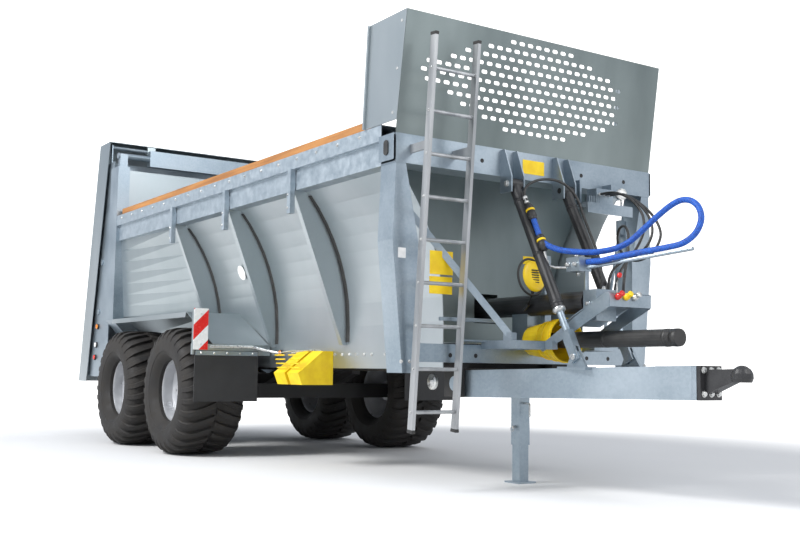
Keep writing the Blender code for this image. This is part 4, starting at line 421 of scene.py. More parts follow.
def ring(centre, along, radius, sides, phase=0.0):
    _, across, up = directions(along)
    return [Vector(centre) + radius * (math.cos(a) * across + math.sin(a) * up)
            for a in (phase + 2 * math.pi * i / sides for i in range(sides))]


def joined(parts):
    """One list of vertices and faces from many."""
    verts, faces = [], []
    for some_verts, some_faces in parts:
        shift = len(verts)
        verts += list(some_verts)
        faces += [[shift + i for i in face] for face in some_faces]
    return verts, faces


def turned(start, along, profile, sides=32, phase=0.0):
    """A turned shape: profile is a list of (distance along, radius)."""
    along = Vector(along).normalized()
    return loft_mesh([ring(Vector(start) + along * d, along, r, sides, phase) for d, r in profile])


def hex_bolt(place, along, size):
    """A washer and a chamfered hexagon head; size is the head's radius."""
    rim = [(-0.002, size * 1.25), (size * 0.16, size * 1.25), (size * 0.20, size * 1.15)]
    washer = turned(place, along, rim, 16)
    head = turned(place, along, [(0, size), (size * 0.75, size), (size * 0.95, size * 0.82)], 6)
    return joined([washer, head])


def bolt_row(name, places, along, size, body="chassis", finish=ZINC):
    parts = [hex_bolt(place, along, size) for place in places]
    return make_piece(name, *joined(parts), finish, body)


def plate(name, corners, thickness, finish, body="chassis", slot="galvanised", edge=0.001):
    """A flat plate from its outline; it grows by the thickness along its own normal."""
    first, second, third = [Vector(corner) for corner in corners[:3]]
    normal = (second - first).cross(third - first).normalized()
    piece = make_piece(name, *loft_mesh([corners, [Vector(c) + normal * thickness for c in corners]]),
                       finish, body, slot)
    if edge:
        soften(piece, edge, 1)
    return piece


def round_outline(half_width, half_height, radius, steps=4):
    """(u, v) corners of a rectangle with rounded corners, about its centre."""
    outline = []
    for i, (u, v) in enumerate(((1, 1), (-1, 1), (-1, -1), (1, -1))):
        for k in range(steps + 1):
            a = math.pi / 2 * (i + k / steps)
            outline.append((u * (half_width - radius) + radius * math.cos(a),
                            v * (half_height - radius) + radius * math.sin(a)))
    return outline


# %% [markdown]
# A farm flotation tyre has a smooth carcass with a ring of slanted lugs down each shoulder. The carcass is
# a turned profile. Each lug is a short bar that follows the same profile from the middle of the tread over
# the shoulder, slanting as it goes, and the two sides are half a step apart so that they mesh.

# %% tyre profile
tyre_low, tyre_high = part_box("tyre_front_left")
TYRE_RADIUS = (tyre_high.z - tyre_low.z) / 2
TYRE_HALF = (tyre_high.y - tyre_low.y) / 2
RIM_EDGE_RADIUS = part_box("wheel_front_left")[1].z - TYRE_RADIUS
TREAD_DEPTH = 0.028
LUG_COUNT = 30
CARCASS = [  # distance from the middle plane as a share of half the width, radius below the tread
    (0.00, TREAD_DEPTH), (0.35, TREAD_DEPTH), (0.62, TREAD_DEPTH + 0.006), (0.82, TREAD_DEPTH + 0.022),
    (0.93, 0.082), (0.985, 0.130), (0.995, 0.180), (0.975, 0.225), (0.975, 0.232), (0.955, 0.236),
    (0.93, 0.262), (0.84, 0.290), (0.80, 0.300), (0.74, 0.3155),
]
LUG_LINE = [  # share of half width, height of the lug's top below the tyre's radius, slant in steps
    (0.03, 0.0, 0.00), (0.30, 0.0, 0.32), (0.58, 0.005, 0.62), (0.80, 0.020, 0.84), (0.93, 0.064, 0.95),
    (0.985, 0.105, 1.00),
]
LUG_ROOT_EXTRA = 0.006


def wheel_point(centre, share, radius, angle):
    across = share * TYRE_HALF
    return centre + Vector((radius * math.cos(angle), across, radius * math.sin(angle)))


def carcass_radius(share):
    for (a, drop_a), (b, drop_b) in zip(CARCASS, CARCASS[1:]):
        if a <= share <= b:
            return TYRE_RADIUS - drop_a - (drop_b - drop_a) * (share - a) / (b - a)
    return TYRE_RADIUS - TREAD_DEPTH


def tyre_carcass(centre, steps=112):
    line = [(-s, d) for s, d in reversed(CARCASS[1:])] + CARCASS
    verts = []
    for k in range(steps):
        angle = 2 * math.pi * k / steps
        verts += [wheel_point(centre, s, TYRE_RADIUS - d, angle) for s, d in line]
    return verts, loop_faces(steps, len(line))


def tyre_lug(centre, side, number):
    step = 2 * math.pi / LUG_COUNT
    start = (number + (0.5 if side > 0 else 0.0)) * step
    rings = []
    for share, drop, slant in LUG_LINE:
        top = TYRE_RADIUS - drop
        root = min(carcass_radius(share), top) - LUG_ROOT_EXTRA
        middle = start - slant * step * 0.9
        half_top, half_root = step * 0.19, step * 0.26
        rings.append([wheel_point(centre, side * share, root, middle - half_root),
                      wheel_point(centre, side * share, top, middle - half_top),
                      wheel_point(centre, side * share, top, middle + half_top),
                      wheel_point(centre, side * share, root, middle + half_root)])
    return loft_mesh(rings)


def build_tyre(place):
    low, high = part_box(f"tyre_{place}")
    centre = (low + high) / 2
    parts = [tyre_carcass(centre)]
    for side in (-1, 1):
        parts += [tyre_lug(centre, side, n) for n in range(LUG_COUNT)]
    piece = make_piece(f"tyre_with_lugs_{place}", *joined(parts), RUBBER, f"wheel_{place}", "tyre",
                       smooth=True)
    soften(piece, 0.004, 2)
    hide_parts(f"tyre_{place}")
    return centre


WHEELS = ("front_left", "front_right", "rear_left", "rear_right")
wheel_centres = {place: build_tyre(place) for place in WHEELS}
print("tyre radius", round(TYRE_RADIUS, 3), "m, lugs on each side", LUG_COUNT)

# %% [markdown]
# The wheel disc is pressed steel, painted silver: a rim with rolled edges, a deep dish, a hub and ten wheel
# nuts on a circle. The rim is turned as one closed profile in many more steps than the loaded wheel has,
# so that it reads as round.

# %% wheels
NUT_COUNT = 10
NUT_CIRCLE = 0.132
WHEEL_STEPS = 96


def disc_profile(half, r):
    """(distance outward from the middle plane, radius) round the whole section of rim, dish and hub."""
    return [
        (half, r - 0.016), (half + 0.004, r - 0.006), (half, r), (half - 0.014, r - 0.002),
        (half - 0.022, r - 0.014), (0.10, r - 0.016), (0.090, r - 0.030), (0.062, r - 0.060),
        (0.055, r - 0.095), (0.066, 0.165), (0.070, 0.150), (0.075, 0.112), (0.118, 0.104), (0.128, 0.096),
        (0.128, 0.070), (0.150, 0.064), (0.165, 0.050), (0.168, 0.012), (0.120, 0.012), (0.120, 0.058),
        (-0.10, 0.058), (-0.10, 0.105), (0.035, 0.105), (0.040, r - 0.095), (0.050, r - 0.060),
        (0.070, r - 0.040), (-half + 0.022, r - 0.026), (-half + 0.010, r - 0.020), (-half, r - 0.004),
        (-half + 0.010, r - 0.001), (-half + 0.022, r - 0.012), (0.06, r - 0.012), (half - 0.030, r - 0.022),
        (half - 0.012, r - 0.020),
    ]


def round_point(centre, radius, along, angle):
    return centre + Vector((radius * math.cos(angle), along, radius * math.sin(angle)))


def build_wheel(place):
    centre = wheel_centres[place]
    side = 1 if "left" in place else -1
    low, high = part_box(f"wheel_{place}")
    half = max(high.y - centre.y, centre.y - low.y)
    profile = [(max(-half, min(half, along)), min(radius, RIM_EDGE_RADIUS))
               for along, radius in disc_profile(half, RIM_EDGE_RADIUS)]
    verts = [round_point(centre, radius, side * along, 2 * math.pi * k / WHEEL_STEPS)
             for k in range(WHEEL_STEPS) for along, radius in profile]
    piece = make_piece(f"wheel_disc_{place}", verts, loop_faces(WHEEL_STEPS, len(profile)), RIM_SILVER,
                       f"wheel_{place}", "rim", smooth=True)
    soften(piece, 0.002, 2)
    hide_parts(f"wheel_{place}")
    nuts = [round_point(centre, NUT_CIRCLE, side * 0.072, 2 * math.pi * k / NUT_COUNT)
            for k in range(NUT_COUNT)]
    bolt_row(f"wheel_nuts_{place}", nuts, Vector((0, side, 0)), 0.014, f"wheel_{place}")


for place in WHEELS:
    build_wheel(place)
print("wheel nuts on each wheel:", NUT_COUNT)

# %% [markdown]
# The driver looks back at the load through the head board, so it is punched with rows of rounded slots. They
# are real holes: a flat curve with the board's outline and every slot inside it fills itself and leaves the
# slots open, and an extrusion gives it the sheet's thickness. The rows are staggered by half a step, and the
# pattern is cut short on the left.

# %% slotted head board
board_low, board_high = box_of("head_board")
beam_front = box_of("hose_rack")[0].x
BOARD_SHEET = 0.006
BOARD_FOOT = Vector((beam_front - 0.005, 0, board_low.z))
BOARD_LEAN = board_high.x - BOARD_FOOT.x
BOARD_HEIGHT = math.hypot(BOARD_LEAN, board_high.z - board_low.z)
SLOT_LENGTH, SLOT_HEIGHT, SLOT_STEP = 0.056, 0.029, 0.083
ROW_STEP = 0.066
MIDDLE_ROW = 0.482
ROW_REACH = (1.155, 1.076, 0.920, 0.776, 0.546, 0.320)  # by distance from the middle row
LEFT_REACH = 0.870


def add_loop(data, points):
    line = data.splines.new("POLY")
    line.points.add(len(points) - 1)
    for spot, (u, v) in zip(line.points, points):
        spot.co = (u, v, 0, 1)
    line.use_cyclic_u = True


def slot_centres():
    for row in range(-5, 6):
        reach = ROW_REACH[abs(row)]
        shift = SLOT_STEP / 2 if row % 2 else 0.0
        count = int(reach / SLOT_STEP) + 1
        for k in range(-count, count + 1):
            u = k * SLOT_STEP + shift
            if -reach <= u - SLOT_LENGTH / 2 and u + SLOT_LENGTH / 2 <= min(reach, LEFT_REACH):
                yield u, MIDDLE_ROW + row * ROW_STEP


def slotted_board():
    half = board_high.y
    data = bpy.data.curves.new("board_outline", "CURVE")
    data.dimensions = "2D"
    data.fill_mode = "BOTH"
    data.extrude = BOARD_SHEET / 2
    add_loop(data, [(-half, 0), (half, 0), (half, BOARD_HEIGHT), (-half, BOARD_HEIGHT)])
    slots = list(slot_centres())
    for u, v in slots:
        add_loop(data, [(u + a, v + b) for a, b in round_outline(SLOT_LENGTH / 2, SLOT_HEIGHT / 2, 0.0125)])
    flat = bpy.data.objects.new("board_outline", data)
    bpy.context.scene.collection.objects.link(flat)
    bpy.context.view_layer.update()
    mesh = bpy.data.meshes.new_from_object(flat)
    bpy.data.objects.remove(flat)
    up = Vector((BOARD_LEAN, 0, board_high.z - board_low.z)).normalized()
    back = Vector((-up.z, 0, up.x))
    foot = at(*BOARD_FOOT) + back * BOARD_SHEET / 2
    for vertex in mesh.vertices:
        u, v, w = vertex.co
        vertex.co = foot + Vector((0, u, 0)) + up * v + back * w
    mesh.materials.clear()
    # The board gets the darker sheet as painted shade on its front, which faces away from the light.
    mesh.materials.append(PAINTED_SHADE_SHEET)
    board = bpy.data.objects.new("slotted_board", mesh)
    bpy.context.scene.collection.objects.link(board)
    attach(board, "chassis")
    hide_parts("head_board")
    print("slots in the head board:", len(slots))
    return board


slotted_board()

# %% [markdown]
# Two wings brace the board to the top rails. Their outer edges are folded, and three bolts hold each one.

# %% wings of the head board
WING_FOOT_Z = box_of("top_rail_left")[1].z + 0.0005
WING_SHEET = 0.006
for name, side in SIDES:
    y = side * (board_high.y - 0.0005)
    top = board_high.z
    head = BOARD_FOOT.x + BOARD_LEAN
    corners = [at(BOARD_FOOT.x + 0.010, y, WING_FOOT_Z), at(head - 0.003, y, top),
               at(head - 0.490, y, top), at(BOARD_FOOT.x - 0.416, y, WING_FOOT_Z)]
    if side > 0:
        corners = corners[::-1]
    plate(f"wing_{name}", corners, WING_SHEET, SHEET_STEEL)
    inner = y - side * WING_SHEET
    fold = [at(head - 0.475, inner, top - 0.002), at(head - 0.495, inner, top - 0.002),
            at(BOARD_FOOT.x - 0.421, inner, WING_FOOT_Z), at(BOARD_FOOT.x - 0.401, inner, WING_FOOT_Z)]
    plate(f"wing_fold_{name}", fold if side < 0 else fold[::-1], 0.030, SHEET_STEEL)
    spots = [at(BOARD_FOOT.x + BOARD_LEAN * share - 0.05, y, WING_FOOT_Z + (top - WING_FOOT_Z) * share - 0.02)
             for share in (0.10, 0.50, 0.93)]
    bolt_row(f"wing_bolts_{name}", spots, (0, side, 0), 0.012)
print("wings: 2")

# %% [markdown]
# The warning boards carry red and white diagonal stripes, a pattern that every road user knows. Stripes need
# no picture: a coordinate that runs across the stripes is cut into equal steps, and every other one is red.

# %% striped warning boards
def stripes(name, width, lean):
    finish = surface(name, (0.78, 0.78, 0.77), (0.88, 0.88, 0.87), (0.18, 0.32), 0.0, 0.03, lift=0.0002)
    tree = finish.node_tree
    split = add_node(tree, "SeparateXYZ")
    link(tree, tree.nodes["Texture Coordinate"], "Object", split, "Vector")
    slant = add_node(tree, "Math", {1: lean}, operation="MULTIPLY_ADD")
    link(tree, split, "Y", slant, 0)
    link(tree, split, "Z", slant, 2)
    turns = add_node(tree, "Math", {1: width}, operation="PINGPONG")
    link(tree, slant, "Value", turns, 0)
    band = add_node(tree, "Math", {1: width / 2}, operation="GREATER_THAN")
    link(tree, turns, "Value", band, 0)
    mix = add_node(tree, "Mix", {"B": (0.72, 0.02, 0.015, 1)}, data_type="RGBA")
    link(tree, band, "Value", mix, "Factor")
    link(tree, tree.nodes["Color Ramp"], "Color", mix, "A")
    link(tree, mix, "Result", tree.nodes["Principled BSDF"], "Base Color")
    return finish


STRIPE_WIDTH = 0.14
for name, side in SIDES:
    low, high = box_of(f"warning_board_{name}")
    nodes[f"warning_board_{name}"].data.materials[0] = stripes(f"stripes_{name}", STRIPE_WIDTH, float(side))
    clamp_spots = [at(high.x, (low.y + high.y) / 2, z) for z in (low.z + 0.05, high.z - 0.05)]
    bolt_row(f"board_bolts_{name}", clamp_spots, (1, 0, 0), 0.007)
print("striped boards: 2")

# %% [markdown]
# Bolts tell the eye how a machine is put together. The skirt under the body has an even row of them, the
# stake pockets have two each, the coupling plate has two rows of three, and the sills and brackets a few
# more. Each row is one mesh made by a loop.

# %% bolts and holes
SKIRT_Y = 0.7005
RIB_PLACES = (-0.47, 0.837, 2.144)
SKIRT_BOLTS = (1.95, 2.07, 2.19, 2.31, 2.43, 2.55, 2.75, 2.95, 3.15, 3.35)
TIMBER_BOLTS = [-2.05 + 0.33 * i for i in range(17)]
plate_front = box_of("ball_coupling")[0].x + 0.028
for name, side in SIDES:
    outward = (0, side, 0)
    rows = {
        "skirt_bolts": ([(x, SKIRT_Y, 0.965) for x in SKIRT_BOLTS], outward, 0.012),
        "pocket_bolts": ([(x - 0.012, 1.2855, z) for x in RIB_PLACES for z in (2.165, 2.275)],
                         outward, 0.009),
        "timber_bolts": ([(x, 1.2661, 2.560) for x in TIMBER_BOLTS], outward, 0.011),
        "leg_bolts": ([(beam_front - 0.004, y, 0.90) for y in (1.20, 1.13)], (1, 0, 0), 0.011),
        "strut_pin_heads": ([(3.81, 0.3262, 2.235)], outward, 0.020),
        "strut_foot_heads": ([(4.478, 0.294, 0.945)], outward, 0.017),
    }
    for row, (spots, along, size) in rows.items():
        bolt_row(f"{row}_{name}", [at(x, side * y, z) for x, y, z in spots], along, size)

coupling = [at(plate_front, y, z) for y in (-0.068, 0.0, 0.068) for z in (0.715, 0.862)]
bolt_row("coupling_bolts", coupling, (1, 0, 0), 0.017)
print("bolt rows made")


def painted_shade_hole(name, place, along, radius):
    """A shallow dark cup with a rolled rim: painted shade that reads as a hole through the plate."""
    profile = [(-0.001, radius * 1.18), (0.0012, radius * 1.15), (0.0016, radius * 1.02),
               (0.0004, radius * 0.98), (0.0004, 0.0005)]
    cup = turned(place, along, profile, 24)
    return make_piece(name, *cup, CHASSIS_BLACK, "chassis", "black_steel", smooth=True)


hole_spots = [(y, 2.40) for y in (-0.97, -0.50, 0.50, 0.97)] + [(y, 0.95) for y in (-0.78, -0.55, 0.55, 0.78)]
# Painted shade: each hole is a dark cup on the plate, standing for the shade inside an opening.
for i, (y, z) in enumerate(hole_spots):
    painted_shade_hole(f"plate_hole_{i}", at(beam_front, y, z), (1, 0, 0), 0.014)

# %% [markdown]
# Plates and labels are left blank: a yellow one on the beam, a white one on the leg, a round white one on
# each side of the body, and a yellow sheet on the push wall. Each is a thin plate with rounded corners.

# %% blank plates
def label(name, centre, across, up, half_width, half_height, radius, thickness, finish, body="chassis",
          slot="yellow_plastic"):
    across, up = Vector(across).normalized(), Vector(up).normalized()
    corners = [at(*centre) + across * u + up * v
               for u, v in round_outline(half_width, half_height, radius, 5)]
    return plate(name, corners, thickness, finish, body, slot, edge=0.0004)


label("beam_plate", (beam_front + 0.0003, 0.0, 2.404), (0, 1, 0), (0, 0, 1), 0.108, 0.054, 0.006, 0.0015,
      YELLOW)
label("leg_label", (beam_front - 0.0038, -1.205, 1.66), (0, 1, 0), (0, 0, 1), 0.033, 0.036, 0.004, 0.0006,
      WHITE)
for name, side in SIDES:
    label(f"round_sign_{name}", (0.30, side * 0.83, 1.78), (-side, 0, 0), (0, side * 0.35, 0.94),
          0.075, 0.075, 0.074, 0.0010, WHITE)
label("push_wall_label", (box_of("push_wall")[0].x, -0.47, 1.60), (0, -1, 0), (0, 0, 1),
      0.11, 0.155, 0.01, 0.001, YELLOW, "push_wall")
print("blank plates: 5")

# %% [markdown]
# Small lamps and reflectors are lenses in a black cup. A lens is a turned dome, slightly ribbed by its own
# profile. The rear ones sit on the frame of the spreading unit, so they stay put when the hood swings up.

# %% lamps and reflectors
def lamp(name, place, along, radius, finish, body="chassis"):
    place = at(*place)
    cup = [(0, radius * 1.12), (0.016, radius * 1.12), (0.018, radius * 1.02), (0.010, radius)]
    make_piece(f"{name}_cup", *turned(place, along, cup, 28), BLACK_PLASTIC, body, "black_plastic")
    dome = [(0.008, radius * 0.98), (0.022, radius * 0.94), (0.027, radius * 0.80), (0.0285, radius * 0.60),
            (0.0275, radius * 0.56), (0.0295, radius * 0.40), (0.0300, radius * 0.02)]
    make_piece(name, *turned(place, along, dome, 28), finish, body, "yellow_plastic", smooth=True)


for name, side in SIDES:
    lamp(f"side_lamp_{name}", (2.93, side * 0.7006, 1.02), (0, side, 0), 0.032, AMBER)
    lamp(f"fender_lamp_{name}", (0.95, side * 0.7006, 0.985), (0, side, 0), 0.026, AMBER)
    for i, (z, finish) in enumerate(((0.95, RED), (1.10, WHITE), (1.32, AMBER))):
        spot = (-2.86 - (1.32 - z) * 0.155, side * 1.2354, z)
        lamp(f"rear_lamp_{name}_{i}", spot, (0, side, 0), 0.030, finish)
print("lamps: 10")

# %% [markdown]
# Pipes, rods and rings are all round bars along a line. `bar` makes one with softened ends, and `coil_ring`
# makes a ring of round section, for the rim of the yellow cover and the rings on the guard bell.

# %% round bars and rings
def bar(name, points, radius, finish, body="chassis", slot="galvanised", sides=16):
    """A round bar through points in axle coordinates, as one closed skin."""
    spots = [at(*p) for p in points]
    rings = []
    for i, spot in enumerate(spots):
        before = spots[max(i - 1, 0)]
        after = spots[min(i + 1, len(spots) - 1)]
        rings.append(ring(spot, after - before, radius, sides))
    piece = make_piece(name, *loft_mesh(rings), finish, body, slot, smooth=True)
    soften(piece, radius * 0.18, 2)
    return piece


def coil_ring(name, place, along, radius, thickness, finish, slot="galvanised", steps=48, sides=12):
    along, across, up = directions(along)
    centre = at(*place)
    verts = []
    for k in range(steps):
        a = 2 * math.pi * k / steps
        outward = math.cos(a) * across + math.sin(a) * up
        for i in range(sides):
            b = 2 * math.pi * i / sides
            reach = radius + thickness * math.cos(b)
            verts.append(centre + outward * reach + along * thickness * math.sin(b))
    return make_piece(name, verts, loop_faces(steps, sides), finish, "chassis", slot, smooth=True)


def turned_piece(name, place, along, profile, finish, body="chassis", slot="galvanised", sides=32):
    return make_piece(name, *turned(at(*place), along, profile, sides), finish, body, slot, smooth=True)


# %% [markdown]
# The two struts beside the drawbar are black above and bare metal at their lower ends. The change of colour
# is a second material on the same steel, put on the faces beyond a share of the strut's length.

# %% silver lower ends
def share_along(point, top, foot):
    line = foot - top
    return (point - top).dot(line) / line.length_squared


STRUT_TOP = Vector((3.810, -0.26, 2.235))
STRUT_FOOT = Vector((4.478, -0.26, 0.945))
ALONG = (STRUT_FOOT - STRUT_TOP).normalized()
AHEAD = Vector((-ALONG.z, 0, ALONG.x))


SILVER_FROM = 0.765
for name, side in SIDES:
    strut = nodes[f"drawbar_strut_{name}"]
    strut.data.materials.append(GALVANISED)
    for face in strut.data.polygons:
        middle = strut.matrix_world @ face.center - Vector((AXLE_X, 0, 0))
        flat = Vector((middle.x, STRUT_TOP.y, middle.z))
        face.material_index = 1 if share_along(flat, STRUT_TOP, STRUT_FOOT) > SILVER_FROM else 0

# %% [markdown]
# Fittings sit on the front of the right strut, one above the other, along the strut's own direction: black
# couplers with a yellow ring and silver unions between them, with a short pipe to the valve. They are taken
# here to be hydraulic line couplers. All are turned shapes, placed by their share of the strut's length.

# %% couplers on the strut
def on_strut(share, out=0.066, across=0.0, side=-1):
    spot = STRUT_TOP + (STRUT_FOOT - STRUT_TOP) * share + AHEAD * out
    return Vector((spot.x, side * 0.26 + across, spot.z))


COUPLER = [(0.0, 0.020), (0.004, 0.030), (0.030, 0.0315), (0.034, 0.026), (0.050, 0.026), (0.054, 0.033),
           (0.100, 0.034), (0.106, 0.028), (0.124, 0.024)]
COUPLER_RING = [(-0.008, 0.030), (-0.007, 0.0335), (0.007, 0.0335), (0.008, 0.030)]
STRUT_BAND = [(0.0, 0.0425), (0.001, 0.0455), (0.022, 0.0455), (0.023, 0.0425)]
for i, share in enumerate((0.165, 0.345)):
    turned_piece(f"coupler_{i}", on_strut(share), ALONG, COUPLER, BLACK_PLASTIC, slot="black_plastic",
                 sides=28)
    spot = on_strut(share) + ALONG * 0.042
    turned_piece(f"coupler_ring_{i}", spot, ALONG, COUPLER_RING, YELLOW, slot="yellow_plastic")
UNION = [(0.0, 0.012), (0.002, 0.019), (0.022, 0.019), (0.024, 0.014), (0.040, 0.014), (0.042, 0.019),
         (0.060, 0.019), (0.062, 0.012)]
for i, share in enumerate((0.105, 0.290, 0.320)):
    turned_piece(f"union_{i}", on_strut(share, 0.060), ALONG, UNION, ZINC, sides=6)
for name, side in SIDES:
    for i, share in enumerate((0.10, 0.42, 0.70)):
        turned_piece(f"strut_band_{name}_{i}", on_strut(share, 0.0, 0.0, side), ALONG, STRUT_BAND,
                     BLACK_PAINT, slot="black_steel")
    turned_piece(f"strut_seal_{name}", on_strut(0.735, 0.0, 0.0, side), ALONG,
                 [(0.0, 0.042), (0.004, 0.046), (0.020, 0.046), (0.030, 0.036), (0.034, 0.027)], ZINC)
pipe_start = on_strut(0.435, 0.060)
pipe = [tuple(pipe_start), (4.165, -0.235, 1.60), (4.20, -0.200, 1.585), (4.235, -0.14, 1.585),
        (4.272, -0.12, 1.585)]
bar("valve_pipe", pipe, 0.009, ZINC)
print("couplers: 2")

# %% [markdown]
# The blue hose ends near the valve block on its post. Valves are small and busy: sockets, hexagon plugs, a
# lever with a red knob and a pressure gauge on the rack beside it. A few turned shapes in the right places
# say all of that.

# %% valve fittings
HEX_PLUG = [(0.0, 0.016), (0.018, 0.016), (0.020, 0.012), (0.030, 0.012), (0.031, 0.009)]
for i, (x, y, z, along) in enumerate([
        (4.30, -0.16, 1.60, (0, -1, 0)), (4.37, -0.16, 1.60, (0, -1, 0)), (4.31, -0.10, 1.65, (0, 0, 1)),
        (4.37, -0.10, 1.65, (0, 0, 1)), (4.31, -0.045, 1.60, (0, 1, 0)), (4.33, -0.10, 1.55, (0, 0, -1)),
        (4.50, -0.05, 1.36, (1, 0, 0)), (4.50, 0.05, 1.36, (1, 0, 0)), (4.43, 0.05, 1.42, (0, 0, 1)),
        (4.43, -0.09, 1.32, (0, -1, 0)), (4.43, -0.09, 1.25, (0, -1, 0))]):
    turned_piece(f"hex_plug_{i}", (x, y, z), along, HEX_PLUG, ZINC, sides=6)
QUICK_COUPLER = [(0.0, 0.012), (0.002, 0.022), (0.030, 0.022), (0.034, 0.017), (0.052, 0.017),
                 (0.056, 0.021), (0.066, 0.020), (0.067, 0.010)]
for i, (y, finish) in enumerate(((-0.13, RED), (-0.05, YELLOW), (0.03, ZINC))):
    turned_piece(f"quick_coupler_{i}", (4.735, y, 1.345), (1, 0, 0.5), QUICK_COUPLER, finish,
                 slot="yellow_plastic", sides=24)
bar("valve_lever", [(4.71, -0.10, 1.385), (4.71, -0.10, 1.45), (4.73, -0.10, 1.49)], 0.006, ZINC)
knob = [(0, 0.008), (0.006, 0.015), (0.018, 0.018), (0.030, 0.014), (0.036, 0.004)]
turned_piece("lever_knob", (4.728, -0.10, 1.483), (0.4, 0, 1), knob, RED, slot="yellow_plastic")

rack_high = box_of("hose_rack")[1]
gauge = (rack_high.x - 0.035, 0.70, 2.235)
gauge_along = (1, -0.35, 0)
case = [(0, 0.040), (0.004, 0.046), (0.030, 0.046), (0.034, 0.041), (0.028, 0.039)]
turned_piece("gauge_case", gauge, gauge_along, case, ZINC, sides=36)
face_spot = (gauge[0] + 0.027, gauge[1] - 0.0095, gauge[2])
turned_piece("gauge_face", face_spot, gauge_along, [(0, 0.0385), (0.001, 0.0380)], WHITE, sides=36)
bar("gauge_stem", [(gauge[0] + 0.012, gauge[1], 2.144), (gauge[0] + 0.012, gauge[1], 2.195)], 0.008, ZINC)
for i in range(7):
    y = 0.335 + i * 0.018
    tooth = [at(rack_high.x - 0.004, y + across, z)
             for across, z in ((0, 2.140), (0.010, 2.140), (0.010, 2.190), (0, 2.190))]
    plate(f"comb_tooth_{i}", tooth, 0.003, GALVANISED)
clamp_nut = [(0, 0.0135), (0.016, 0.0135), (0.019, 0.0115)]
for i, y in enumerate((0.47, 0.52, 0.57)):
    turned_piece(f"clamp_nut_{i}", (3.9622, y, 2.215), (1, 0, 0), clamp_nut, ZINC, sides=6)
print("valve fittings made")

# %% [markdown]
# A yellow disc with a black rim stands on the front of the body. It may be the cover of a blower or a filter,
# and its use isn't known here. It is made as a shallow dish with a rubber edge and a row of dark ribs across
# its middle, which are short rounded bars laid side by side.

# %% yellow cover with a black rim
COVER = Vector((3.860, -0.107, 1.549))
cover_along = Vector((1, 0.10, 0.12))
stem = [(3.735, -0.10, 1.30), (3.79, -0.10, 1.34), (3.835, -0.10, 1.42), (3.845, -0.10, 1.50)]
bar("cover_stem", stem, 0.012, BLACK_PAINT, slot="black_steel")
dish = [(-0.020, 0.050), (-0.012, 0.100), (0.0, 0.118), (0.008, 0.115), (0.012, 0.094), (0.016, 0.080),
        (0.016, 0.002)]
turned_piece("cover_disc", COVER, cover_along, dish, YELLOW, slot="yellow_plastic", sides=48)
coil_ring("cover_rim", COVER + Vector((-0.01, -0.018, -0.006)), cover_along, 0.137, 0.009, BLACK_PLASTIC,
          slot="black_plastic")
for i in range(6):
    z = COVER.z - 0.045 + i * 0.018
    rib = [(COVER.x + 0.018, COVER.y - 0.036, z), (COVER.x + 0.018, COVER.y + 0.036, z)]
    bar(f"cover_rib_{i}", rib, 0.0045, BLACK_PLASTIC, slot="black_plastic", sides=10)
print("cover made")

# %% [markdown]
# Warning plates are pressed sheet, painted yellow and left blank here. Behind the ladder hang two, one over
# the other, and a small one sits on the middle post. A flat post and a pale bar brace the window beside them.

# %% plates and braces on the front
FRONT_FACE = 3.7305


def front_box(name, x, y, z, finish, slot="galvanised", edge=0.002):
    """A plain box between two x, two y and two z values in axle coordinates."""
    rings = [[at(x[i], y[0], z[0]), at(x[i], y[1], z[0]), at(x[i], y[1], z[1]), at(x[i], y[0], z[1])]
             for i in (0, 1)]
    piece = make_piece(name, *loft_mesh(rings), finish, "chassis", slot)
    soften(piece, edge)
    return piece


for name, y, z in (("upper", (-0.970, -0.765), (1.525, 1.695)), ("lower", (-0.972, -0.770), (1.385, 1.510)),
                   ("small", (-0.104, 0.020), (1.652, 1.712))):
    front_box(f"warning_plate_{name}", (FRONT_FACE, 3.7345), y, z, YELLOW, "yellow_plastic")
front_box("window_post", (3.735, 3.782), (0.070, 0.134), (1.06, 1.725), GALVANISED)
front_box("window_bar", (FRONT_FACE, 3.752), (-0.887, -0.383), (1.195, 1.222), GALVANISED)
front_box("window_shelf", (FRONT_FACE, 3.790), (-0.72, -0.135), (1.052, 1.064), GALVANISED)
bolt_row("window_post_bolts", [at(3.782, 0.10, z) for z in (1.12, 1.40, 1.68)], (1, 0, 0), 0.010)
print("plates: 3")

# %% [markdown]
# Ladder rails end in black caps, top and bottom, and a small bolt head marks the end of each rung.

# %% ladder details
LADDER_FOOT, LADDER_HEAD = Vector((3.765, -0.95, 0.41)), Vector((4.005, -0.95, 3.19))
ladder_along = (LADDER_HEAD - LADDER_FOOT).normalized()
ladder_deep = ladder_along.cross(Vector((0, 1, 0)))
for name, shift in (("outer", -0.187), ("inner", 0.187)):
    for end, spot, sign in (("foot", LADDER_FOOT, -1), ("head", LADDER_HEAD, 1)):
        rings = []
        for d, grow in ((-0.020, 0.0015), (0.0, 0.003), (0.003, 0.002), (0.0045, -0.003)):
            centre = spot + Vector((0, shift, 0)) + ladder_along * sign * d
            deep, wide = ladder_deep * (0.029 + grow), Vector((0, 0.013 + grow, 0))
            rings.append([at(*(centre + deep * i + wide * j))
                          for i, j in ((-1, -1), (1, -1), (1, 1), (-1, 1))])
        cap = make_piece(f"ladder_cap_{name}_{end}", *loft_mesh(rings), BLACK_PLASTIC, "chassis",
                         "black_plastic")
        soften(cap, 0.0015)
    spots = []
    for i in range(9):
        rung = LADDER_FOOT + ladder_along * (0.14 + 0.30 * i)
        spots.append(at(rung.x, rung.y + shift + (0.0132 if shift > 0 else -0.0132), rung.z))
    bolt_row(f"rung_bolts_{name}", spots, (0, 1 if shift > 0 else -1, 0), 0.008)
print("ladder caps: 4")

# %% [markdown]
# Wheel chocks are moulded hollow, with a stepped face that bites into the ground. Ridges are added down the
# slope of the plain wedge, and a bent wire over each one holds it in its place.

